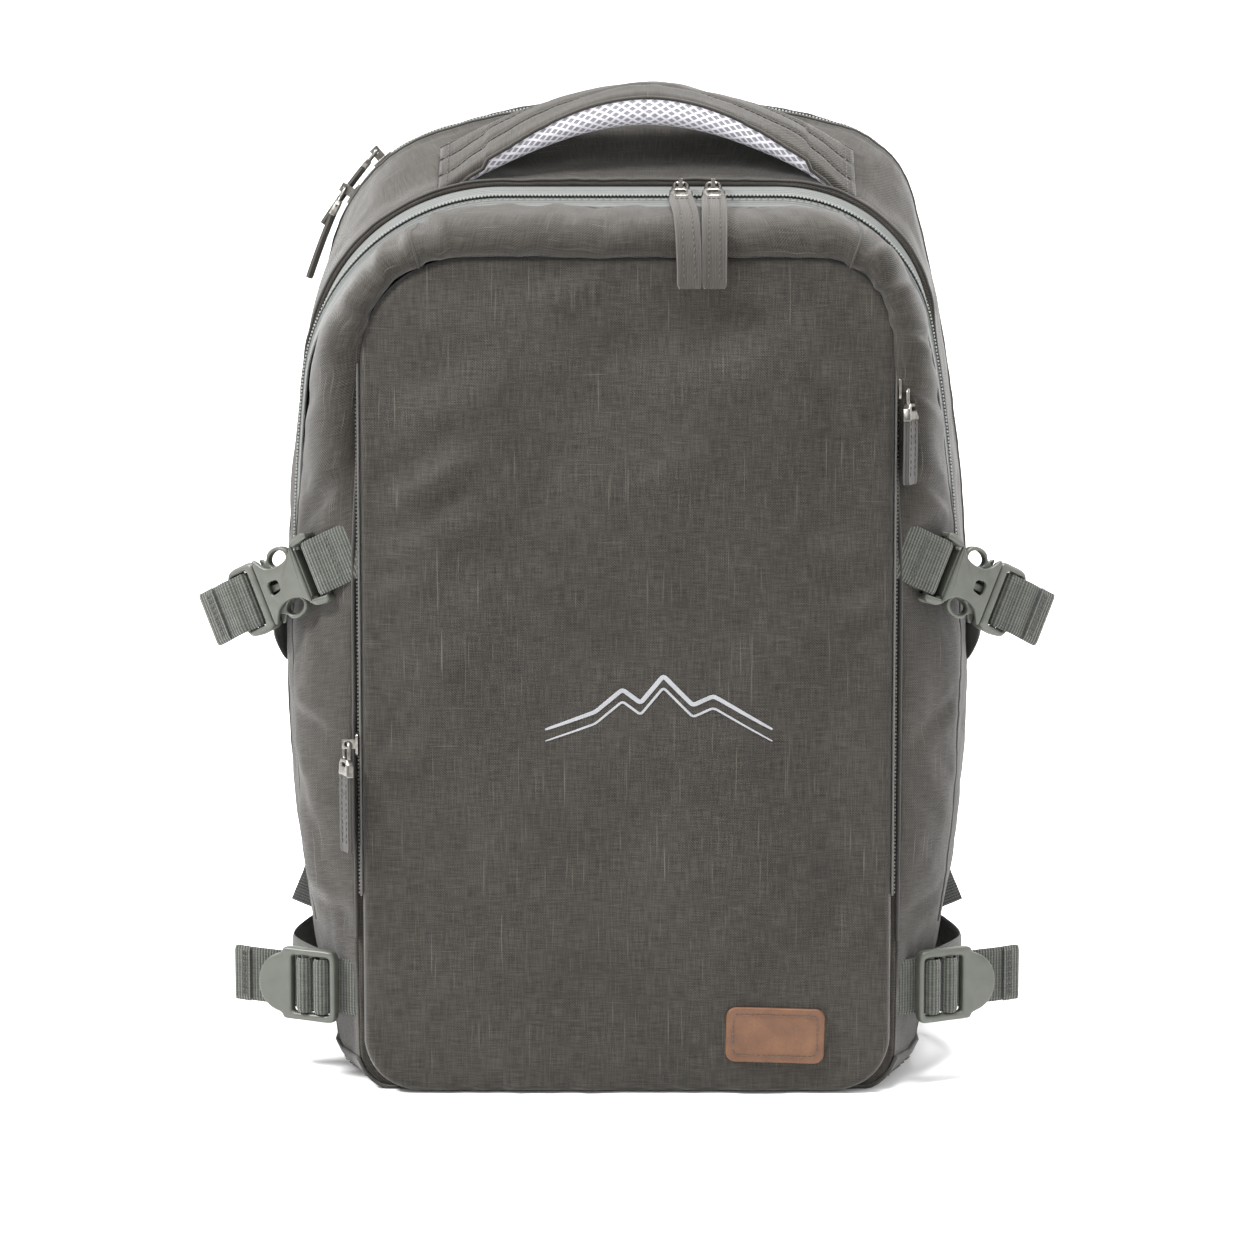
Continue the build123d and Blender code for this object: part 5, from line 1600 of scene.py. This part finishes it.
def zip_hardware():
    up = np.array([0, 0, 1.0])
    for side, name in ((-1, "left"), (1, "right")):
        slider = f"front_slider_{name}"
        refine(slider, nickel, "nickel", slider, 0.3)
        pivot = np.array(joints[f"front_pull_{name}_swing"]["pos_m"]) / MM
        slider_cap(slider, slider, pivot + [0, 0, -3.4], np.array([1.0, 0, 0]), up, np.array([0, 1.0, 0]))
        drift = 3.2 if side < 0 else -0.6
        rise = [(0, 0, 0), (0, -7.5, -3.8), (0.05, -15, -6.3), (0.2, -28, -7.8), (0.45, -40, -10.4),
            (0.7, -49, -16.3),
                (0.88, -53.6, -25.5), (1.0, -55.2, -35.0), (1.0, -55.6, -43.5)]
        path = [pivot + [drift * a, y, z] for a, y, z in rise]
        pull(f"front_pull_{name}", f"front_pull_{name}", pivot, np.array([1.0, 0.04 * side, 0]), path,
            f"front_pull_{name}")
    for name, angle, shift, length in (("low", 68.0, -5.6, 44.0), ("high", 53.0, 8.2, 42.0)):
        slider = f"rear_slider_{name}"
        refine(slider, nickel, "nickel", slider, 0.3)
        pivot = np.array(joints[f"rear_pull_{name}_swing"]["pos_m"]) / MM
        hang = np.array([-math.cos(math.radians(angle)), 0, -math.sin(math.radians(angle))])
        path = [pivot + hang * d + np.array([0, 1.0, 0]) * shift * smooth(d, 0,
            12) + np.array([-0.6, 0, 0.3]) * math.sin(d / length * math.pi) for d in
                (0, 8, 16, 26, 36, length)]
        start = path[0].copy()
        pull(f"rear_pull_{name}", f"rear_pull_{name}", start, np.array([0, 1.0, 0]), path,
            f"rear_pull_{name}")
    for side, name, length in ((-1, "left", 48.0), (1, "right", 42.0)):
        slider = f"pocket_slider_{name}"
        refine(slider, nickel, "nickel", slider, 0.25)
        pivot = np.array(joints[f"pocket_pull_{name}_swing"]["pos_m"]) / MM
        path = [pivot + [side * 0.2 * math.sin(d / length * 3), -3.0 * smooth(d, 0, 12), -d]
            for d in (0, 8, 16, 26, 36, length)]
        pull(f"pocket_pull_{name}", f"pocket_pull_{name}", pivot, np.array([side * 0.45, 0.9, 0]), path,
            f"pocket_pull_{name}")


zip_hardware()


# ---- carry handle --------------------------------------------------------------------------


def handle_objects():
    """Padded handle in two halves: cloth above, spacer mesh below, and piping between."""
    node = frame["nodes"]["grab_handle"]
    verts = np.array([v.co[:] for v in node.data.vertices]) / MM
    x0, x1 = verts[:, 0].min(), verts[:, 0].max()
    middle = (x0 + x1) / 2
    stations = np.linspace(x0, x1, 9)
    fine = np.linspace(x0, x1, 93)
    smooth_corners = np.zeros((len(fine), 4, 2))
    sides = [(verts[:, 1].min(), np.min), (verts[:, 1].max(), np.min), (verts[:, 1].max(), np.max),
        (verts[:, 1].min(), np.max)]
    for c, (y, pick) in enumerate(sides):
        edge = verts[np.abs(verts[:, 1] - y) < 0.05]
        heights = [pick(edge[np.abs(edge[:, 0] - x) < 0.3][:, 2]) for x in stations]
        curve = spline(np.column_stack([stations, heights]), 1.0)
        smooth_corners[:, c, 0] = y
        smooth_corners[:, c, 1] = np.interp(fine, curve[:, 0], curve[:, 1])
    around = 56
    loops = []
    for k, x in enumerate(fine):
        share = (x - middle) / (x1 - middle)
        front_low, rear_low, rear_top, front_top = smooth_corners[k]
        swell = 1.6 * (1 - share**2)
        seam_share = 0.96 * np.clip(1 - (abs(share) / 0.96) ** 5, 0, 1)
        seam = front_low * (1 - seam_share) + front_top * seam_share + [-0.5, 0]
        top_mid = (rear_top + front_top) / 2 + [0, 0.8 + swell]
        radius = 2.2 + 2.6 * (1 - share**2)
        ring = rounded_loop([front_low, rear_low, rear_top, top_mid, front_top],
            [radius, radius, radius, 30, radius], 12)
        start = np.argmin(np.linalg.norm(ring - seam, axis=1))
        ring = np.vstack([ring[start:], ring[:start]])
        ring = resample(np.vstack([ring, ring[:1]]), None, count=around + 1)
        loops.append(np.column_stack([np.full(len(ring), x), ring]))
    loops = np.array(loops)
    if loops[46, 4, 2] > loops[46, 0, 2]:
        loops = loops[:, ::-1]
    low_end = []
    for k in range(len(fine)):
        distance = np.linalg.norm(loops[k, :, 1:] - smooth_corners[k, 1], axis=1)
        low_end.append(int(np.argmin(distance)))
    cut = int(np.median(low_end))
    u = fine[:, None] - fine[0]
    girth = np.cumsum(np.linalg.norm(np.diff(loops, axis=1, prepend=loops[:, :1]), axis=2), axis=1)
    top_part = loops[:, cut:].copy()
    bottom_part = loops[:, :cut + 1].copy()
    top_weave = np.stack([girth[:, cut:], np.broadcast_to(u, girth[:, cut:].shape)], axis=2)
    bottom_weave = np.stack([girth[:, :cut + 1], np.broadcast_to(u, girth[:, :cut + 1].shape)], axis=2)
    across = np.linspace(0, 1, top_part.shape[1])[None]
    up = np.array([0, 0, 1.0])
    channels = (0.30, 0.62)  # sewn lines, as shares of the way over the cloth
    creases = -1.5 * sum(np.exp(-(((across - spot) / 0.035) ** 2)) for spot in channels)
    ends = 1 - smooth(np.abs((fine - middle) / (x1 - middle)), 0.90, 0.99)[:, None]
    wrinkle = layered_noise(fine[:, None] + across * 22, across * 34, 22, 601) * 0.8
    top_part = top_part + up * ((creases * (0.35 + 0.65 * ends)
        + wrinkle * np.sin(np.pi * across) ** 0.5))[..., None]
    halves = (("left", slice(0, 47)), ("right", slice(46, None)))
    for tag, rows in halves:
        built = []
        fabric = Sewing()
        fabric.grid(top_part[rows], top_weave[rows])
        built.append(thicken(fabric.make(f"handle_cloth_{tag}", [handle_cloth, handle_cloth]), 1.0))
        under = Sewing()
        under.grid(bottom_part[rows], bottom_weave[rows])
        built.append(thicken(under.make(f"handle_mesh_{tag}", [air_mesh, air_mesh]), 0.8))
        for label, column in (("front", -1), ("rear", 0)):
            line = top_part[rows, column]
            built.append(tube(f"handle_piping_{label}_{tag}", line, 0.9, handle_cloth, sides=8))
        threads = Sewing()
        for spot in channels:
            column = int(round(spot * (top_part.shape[1] - 1)))
            stitch_mesh(threads, top_part[rows, column] + up * 0.25, up, pitch=3.0, length=2.2, radius=0.26)
        end_row = 2 if tag == "left" else -3
        seam_line = top_part[end_row]
        stitch_mesh(threads, seam_line + up * 0.3, up, pitch=3.0, length=2.2, radius=0.26)
        built.append(threads.make(f"handle_stitches_{tag}", grey_thread))
        if tag == "left":
            start, end = (x0 + 4, -27, 420), (x0 + 46, -27, 420)
        else:
            start, end = (x1 - 4, -27, 420), (x1 - 46, -27, 420)
        for piece in built:
            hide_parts("grab_handle")
            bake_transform(piece)
    for x in (x0, x1):
        k = 0 if x == x0 else len(fine) - 1
        cap = Sewing()
        loop = loops[k]
        centre = loop.mean(axis=0)
        grid = np.array([loop, centre + (loop - centre) * 0.5, np.broadcast_to(centre, loop.shape)])
        cap.grid(grid, loop[None, :, 1:] * np.array([1, 0.6, 0.2])[:, None, None])
        fix(cap.make(f"handle_end_{'left' if x == x0 else 'right'}", handle_cloth, merge=0.01),
            "shell_fabric", "bag_body")


handle_objects()


# ---- back panel, pads and shoulder straps --------------------------------------------------


def back_objects():
    ring = resample(back_outline, 4.0)[:-1]
    ring = ring - outward(np.vstack([ring, ring[:1]]))[:-1] * 0.8
    flat, depth, faces = flat_panel(ring, 5.0, (0.8, 2.0, 4.0))
    y = BACK_FACE_Y - 1.0 + 1.4 * smooth(depth, 0, 30) * smooth(flat[:, 1], 10,
        60) - 2.4 * (1 - smooth(depth, 0, 3.0))
    y = y + layered_noise(flat[:, 0], flat[:, 1], 44, 701) * 0.7 * smooth(depth, 2, 20)
    sewing = Sewing()
    sewing.add(np.column_stack([flat[:, 0], y, np.maximum(flat[:, 1], 1.0)]), [f[::-1] for f in faces],
        flat)
    panel = thicken(sewing.make("back_panel_cloth", [shell, lining]), 1.4)
    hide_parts("back_panel")
    lid_blend(panel)
    piping_ring, piping_normal = above(back_outline, 22)
    line = np.column_stack([piping_ring[:, 0] + piping_normal[:, 0] * 0.2,
        np.full(len(piping_ring), BACK_Y + 1.6), piping_ring[:, 1] + piping_normal[:, 1] * 0.2])
    piping = tube("back_piping", resample(line, 2.5), 1.7, handle_cloth, sides=10)
    lid_blend(piping)


def pad_outlines():
    """Each back pad's rounded border, from the solids of the CAD node."""
    verts = np.array([v.co[:] for v in frame["nodes"]["back_pads"].data.vertices]) / MM
    borders = []
    for x0, x1, z0, z1 in ((-1e3, -5, 122, 332), (5, 1e3, 122, 332), (-1e3, 1e3, 0, 122),
        (-1e3, 1e3, 332, 1e3)):
        inside = (verts[:, 0] > x0) & (verts[:, 0] < x1) & (verts[:, 2] > z0) & (verts[:, 2] < z1)
        lo, hi = verts[inside].min(axis=0), verts[inside].max(axis=0)
        borders.append((lo, hi))
    return borders


def pad_objects():
    """Foam pads under spacer mesh, crowned and quilted, with a bound border."""
    base_y = low("back_pads")[1]
    top = high("back_pads")[1] - low("back_pads")[1]
    for index, (lo, hi) in enumerate(pad_outlines()):
        loop = rounded_loop([(lo[0], lo[2]), (hi[0], lo[2]), (hi[0], hi[2]), (lo[0], hi[2])], 14, 10)
        border = resample(np.vstack([loop, loop[:1]]), 3.0)[:-1]
        flat, depth, faces = flat_panel(border, 2.8, (0.5, 1.2, 2.2, 3.6, 5.4, 7.6))
        crown = top * (0.22 + 0.78 * (1 - np.exp(-depth / 7.0)))
        centre_x = (lo[0] + hi[0]) / 2
        tall = hi[2] - lo[2] > hi[0] - lo[0]
        if tall:
            for z in (lo[2] + (hi[2] - lo[2]) * k for k in (0.25, 0.5, 0.75)):
                line = z + 6 * np.cos((flat[:, 0] - centre_x) / 40)
                crown = crown - 3.6 * np.exp(-(((flat[:, 1] - line) / 3.4) ** 2)) * smooth(depth, 2, 12)
        else:
            for x in (centre_x - 48, centre_x, centre_x + 48):
                crown = crown - 2.8 * np.exp(-(((flat[:, 0] - x) / 3.4) ** 2)) * smooth(depth, 2, 10)
        crown = crown + layered_noise(flat[:, 0], flat[:, 1], 26, 720 + index) * 0.45 * smooth(depth, 1, 10)
        y = base_y + np.clip(crown, 1.5, top)
        sewing = Sewing()
        sewing.add(np.column_stack([flat[:, 0], y, flat[:, 1]]), [f[::-1] for f in faces], flat)
        rim = np.array([np.column_stack([border[:, 0], np.full(len(border), base_y + k), border[:, 1]])
            for k in (top * 0.22, 0.4)])
        sewing.grid(rim, np.array([border, border]), closed=True)
        pad = sewing.make(f"back_pad_{index}", back_mesh, merge=0.05)
        fix(pad, "air_mesh", "back_lid", "back_pads")
        line = np.column_stack([border[:, 0], np.full(len(border), base_y + 1.6), border[:, 1]])
        fix(tube(f"back_pad_binding_{index}", line, 1.5, handle_cloth, sides=8, closed=True), "air_mesh",
            "back_lid")


def shoulder_straps():
    """Padded straps: cloth outside, spacer mesh towards the wearer, and a bound edge all round."""
    for side, name in ((-1, "left"), (1, "right")):
        node = f"shoulder_strap_{name}"
        lo, hi = low(node), high(node)
        thick = 12.0
        top_z, low_z = hi[2], lo[2]
        start_y = BACK_FACE_Y + 12.4
        inner = circle_arc((14, top_z), (48, 275), (72, low_z), 70)
        outer = circle_arc((72, top_z), (118, 280), (118, low_z), 70)
        bow = circle_arc((start_y, top_z), (start_y + 16.6, 290), (start_y + 9.6, low_z), 200)
        across_count = 21
        front_rows, rear_rows, weave = [], [], []
        for k in range(70):
            a, b = inner[k], outer[k]
            s = np.linspace(0, 1, across_count)
            xz = a[None] * (1 - s[:, None]) + b[None] * s[:, None]
            y = np.interp(-xz[:, 1], -bow[:, 1], bow[:, 0])
            width = np.linalg.norm(b - a)
            inset = np.minimum(s, 1 - s) * width
            end = min(k, 69 - k) * 3.7
            full = (1 - np.exp(-inset / 4.0)) * (1 - 0.75 * math.exp(-end / 4.0))
            full = full - 0.22 * np.exp(-((np.abs(s - 0.5) * width / 2.6) ** 2)) * smooth(end, 6, 20)
            full = full + value_noise(xz[:, 0] / 17, xz[:, 1] / 17, 740) * 0.05 * smooth(inset, 1, 8)
            x = side * xz[:, 0]
            middle = y + thick / 2
            front_rows.append(np.column_stack([x, middle - (1.2 + (thick / 2 - 1.2) * full), xz[:, 1]]))
            rear_rows.append(np.column_stack([x, middle + (1.2 + (thick / 2 - 1.2) * full), xz[:, 1]]))
            weave.append(np.column_stack([s * width, np.full(across_count, k * 3.75)]))
        weave = np.array(weave)
        outside, inside = Sewing(), Sewing()
        outside.grid(np.array(rear_rows), weave, turn=side < 0)
        inside.grid(np.array(front_rows), weave, turn=side > 0)
        cloth = fix(outside.make(f"shoulder_cloth_{name}", shell), "shell_fabric", "back_lid", node)
        fix(inside.make(f"shoulder_mesh_{name}", back_mesh), "shell_fabric", "back_lid", node)
        border = np.array([*[(p[0] + p[1]) / 2 for p in [(f[0], r[0]) for f,
            r in zip(front_rows, rear_rows)]],
                           *[(f + r) / 2 for f, r in zip(front_rows[-1][1:-1], rear_rows[-1][1:-1])],
                           *[(f[-1] + r[-1]) / 2 for f, r in zip(front_rows[::-1], rear_rows[::-1])],
                           *[(f + r) / 2 for f, r in zip(front_rows[0][-2:0:-1], rear_rows[0][-2:0:-1])]])
        fix(tube(f"shoulder_binding_{name}", border, 1.7, binding_tape, sides=8, closed=True,
            up=(0, 1, 0)), "shell_fabric", "back_lid")
        adjuster = f"adjuster_{name}"
        refine(adjuster, plastic, "buckle_plastic", adjuster, 0.7)
        pivot = np.array(joints[f"adjuster_{name}_tilt"]["pos_m"]) / MM
        hang = unit([0.12 * side, 0, -1])
        across = np.array([1.0, 0, 0.12 * side])
        loop_path = spline([pivot + hang * -14 + [0, 2.6, 0], pivot + hang * -6 + [0, 3.0, 0],
            pivot + [0, 2.7, 0] + hang * 1.2, pivot + hang * 2.6, pivot + [0, -2.7, 0] + hang * 1.0,
                            pivot + hang * -6 + [0, -3.0, 0], pivot + hang * -14 + [0, -3.4, 0]], 1.0)
        fix(strap(f"adjuster_loop_{name}", loop_path, across, WEBBING, 1.5, dark_webbing), "webbing",
            "back_lid")
        tab_node, web_node = f"strap_tab_{name}", f"shoulder_webbing_{name}"
        bar = pivot + hang * 9.0
        tab_lo, tab_hi = low(tab_node), high(tab_node)
        foot = np.array([side * (max(abs(tab_lo[0]), abs(tab_hi[0])) - 12), BACK_FACE_Y + 0.6,
            (tab_lo[2] + tab_hi[2]) / 2 - 7])
        start = side * min(abs(tab_lo[0]), abs(tab_hi[0]))
        path = spline([foot, foot + [-side * 5.0, 1.0, 12], foot + [-side * 18.0, 4.0, 42],
            bar + hang * 14 + [side * 4, -7.0, 0], bar + hang * 4.5 + [side * 0.6, -3.6, 0],
                       bar + [0, -0.4, 0] + hang * 2.6, bar + [0, 2.7, 0], bar - hang * 2.9 + [0, 0.6, 0],
                       bar - hang * 4.4 + [0, -4.8, 0]], 1.2)
        lower_web = strap(f"shoulder_webbing_run_{name}", path, across, WEBBING, 1.4, dark_webbing)
        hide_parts(web_node)
        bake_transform(lower_web)
        tri = np.array([(0, -17), (24, -6), (24, 7), (0, 17)], float)
        place = plane_matrix(np.array([start - side * 1.5, BACK_Y + 1.6, 46.0]), (side, 0, 0), (0, 0, 1),
            (0, -side, 0))
        tab = plate_object(f"strap_tab_cloth_{name}", [rounded_loop(tri, 2.0, 5)], 3.2, 0.8, binding_cloth,
            place)
        fix(tab, "webbing", "bag_body", tab_node)


def circle_arc(first, middle, last, count):
    """Points along the arc through three points."""
    centre, radius = circle_through(first, middle, last)
    angles = [math.atan2(p[1] - centre[1], p[0] - centre[0]) for p in (first, middle, last)]
    a0, am, a1 = angles
    am += 2 * math.pi * round((a0 - am) / (2 * math.pi))
    a1 += 2 * math.pi * round((am - a1) / (2 * math.pi))
    sweep = np.linspace(a0, a1, count)
    return centre + radius * np.stack([np.cos(sweep), np.sin(sweep)], axis=1)


back_objects()
pad_objects()
shoulder_straps()


# ---- inside --------------------------------------------------------------------------------


def inside_objects():
    """The divider and the laptop sleeve, as soft sheets with bound edges."""
    lo, hi = low("divider_panel"), high("divider_panel")
    ring = resample(ring_at((lo[1] + hi[1]) / 2), 6.0)[:-1]
    ring = ring - outward(np.vstack([ring, ring[:1]]))[:-1] * 4.2
    ring[:, 1] = np.minimum(ring[:, 1], hi[2] - 1.5)
    ring[:, 1] = np.maximum(ring[:, 1], lo[2] + 1)
    flat, depth, faces = flat_panel(ring, 8.0, (2.0, 5.0))
    y = (lo[1] + hi[1]) / 2 + layered_noise(flat[:, 0], flat[:, 1], 70, 801) * 1.0 * smooth(depth, 2, 30)
    sewing = Sewing()
    sewing.add(np.column_stack([flat[:, 0], y, flat[:, 1]]), faces, flat)
    fix(thicken(sewing.make("divider_cloth", [lining, lining]), 1.8), "lining_fabric", "bag_body",
        "divider_panel")
    top = ring[ring[:, 1] > hi[2] - 2.0]
    top = top[np.argsort(top[:, 0])]
    line = np.column_stack([top[:, 0], np.full(len(top), (lo[1] + hi[1]) / 2), top[:, 1]])
    fix(tube("divider_binding", line, 1.8, binding_tape, sides=8), "lining_fabric", "bag_body")
    lo, hi = low("laptop_sleeve"), high("laptop_sleeve")
    loop = rounded_loop([(lo[0], lo[2]), (hi[0], lo[2]), (hi[0], hi[2]), (lo[0], hi[2])], [16, 16, 3, 3], 8)
    border = resample(np.vstack([loop, loop[:1]]), 5.0)[:-1]
    flat, depth, faces = flat_panel(border, 6.0, (1.0, 2.5, 5.0))
    y = lo[1] + 2.0 - 1.6 * smooth(depth, 0, 10) + layered_noise(flat[:, 0], flat[:, 1], 60, 821) * 0.5
    for z in np.arange(lo[2] + 45, hi[2] - 20, 45):
        y = y + 0.9 * np.exp(-(((flat[:, 1] - z) / 2.5) ** 2)) * smooth(depth, 3, 12)
    sewing = Sewing()
    sewing.add(np.column_stack([flat[:, 0], y, flat[:, 1]]), faces, flat)
    front = thicken(sewing.make("laptop_sleeve_front", [lining, lining]), 2.0)
    fix(front, "lining_fabric", "back_lid", "laptop_sleeve")
    sides = Sewing()
    keep = border[(border[:, 1] < hi[2] - 4)]
    start = np.argmax(np.linalg.norm(np.diff(np.vstack([keep, keep[:1]]), axis=0), axis=1)) + 1
    keep = np.vstack([keep[start:], keep[:start]])
    walls = []
    for k in np.linspace(0, 1, 5):
        sag = 1.2 * math.sin(math.pi * k)
        walls.append(np.column_stack([keep[:, 0] * (1 - sag / 130),
            np.full(len(keep), lo[1] + 2 + k * (hi[1] - lo[1] - 2.2)), keep[:, 1] + sag * 0.3]))
    sides.grid(np.array(walls))
    fix(thicken(sides.make("laptop_sleeve_gusset", [lining, lining]), 1.5), "lining_fabric", "back_lid")
    mouth = np.array([[x, lo[1] + 1.0, hi[2]] for x in np.linspace(lo[0] + 2, hi[0] - 2, 40)])
    fix(tube("laptop_sleeve_binding", mouth, 2.0, binding_tape, sides=8), "lining_fabric", "back_lid")


inside_objects()


# ---- camera, light and floor ---------------------------------------------------------------


def studio():
    scene = bpy.context.scene
    camera_data = bpy.data.cameras.new("camera")
    camera = bpy.data.objects.new("camera", camera_data)
    scene.collection.objects.link(camera)
    camera_data.lens, camera_data.sensor_width = 112.0, 36.0
    camera_data.shift_y = -0.09
    camera_data.clip_start, camera_data.clip_end = 0.1, 20.0
    camera.location = (0.0, -1.797, 0.470)
    pitch = math.radians(90 - 7.02)
    camera.rotation_euler = (pitch, 0, 0)
    scene.camera = camera
    bend = [(1.1 + 1.2 * math.sin(a), 1.2 - 1.2 * math.cos(a)) for a in np.radians(np.linspace(0, 90, 13))]
    floor_rows = [(-2.8, 0.0), (-0.6, 0.0), *bend, (2.3, 3.4)]
    mesh = bpy.data.meshes.new("studio_floor")
    points = [(x, y, z) for y, z in floor_rows for x in (-3.6, 3.6)]
    mesh.from_pydata(points, [], [(2 * k, 2 * k + 1, 2 * k + 3, 2 * k + 2)
        for k in range(len(floor_rows) - 1)])
    floor = bpy.data.objects.new("studio_floor", mesh)
    scene.collection.objects.link(floor)
    mesh.polygons.foreach_set("use_smooth", np.ones(len(mesh.polygons), bool))
    material, tree, shader = new_material("studio floor", Roughness=0.7, Specular_IOR_Level=0.1)
    grain = add(tree, "TexNoise", {"Scale": 60.0, "Detail": 3.0}).outputs["Fac"]
    tree.links.new(ramp(tree, grain, [(0.3, (0.86, 0.86, 0.86)), (0.7, (0.88, 0.88, 0.88))]),
        shader.inputs["Base Color"])
    mesh.materials.append(material)
    world = bpy.data.worlds.new("studio")
    world.use_nodes = True
    world.node_tree.nodes["Background"].inputs["Color"].default_value = (1, 1, 1, 1)
    world.node_tree.nodes["Background"].inputs["Strength"].default_value = 0.98
    scene.world = world
    scene.view_settings.view_transform = "Standard"
    for name, place, size, power, target in (
        ("key", (-1.7, -0.62, 1.75), (0.4, 0.4), 84.0, (0, 0, 0.25)),
        ("fill", (1.9, -1.5, 1.0), (1.0, 1.4), 6.0, (0, 0, 0.25)),
        ("top", (0.15, -0.2, 2.1), (1.0, 0.6), 88.0, (0, 0, 0.25)),
        ("left_edge", (-1.8, 0.5, 0.8), (0.8, 1.4), 6.0, (0, 0, 0.25)),
        ("right_edge", (1.8, 0.5, 0.8), (0.8, 1.4), 14.0, (0, 0, 0.25)),
    ):
        data = bpy.data.lights.new(name, "AREA")
        data.shape, data.size, data.size_y, data.energy = "RECTANGLE", *size, power
        lamp = bpy.data.objects.new(name, data)
        scene.collection.objects.link(lamp)
        lamp.location = place
        lamp.rotation_euler = (Vector(target) - Vector(place)).to_track_quat("-Z", "Y").to_euler()


studio()
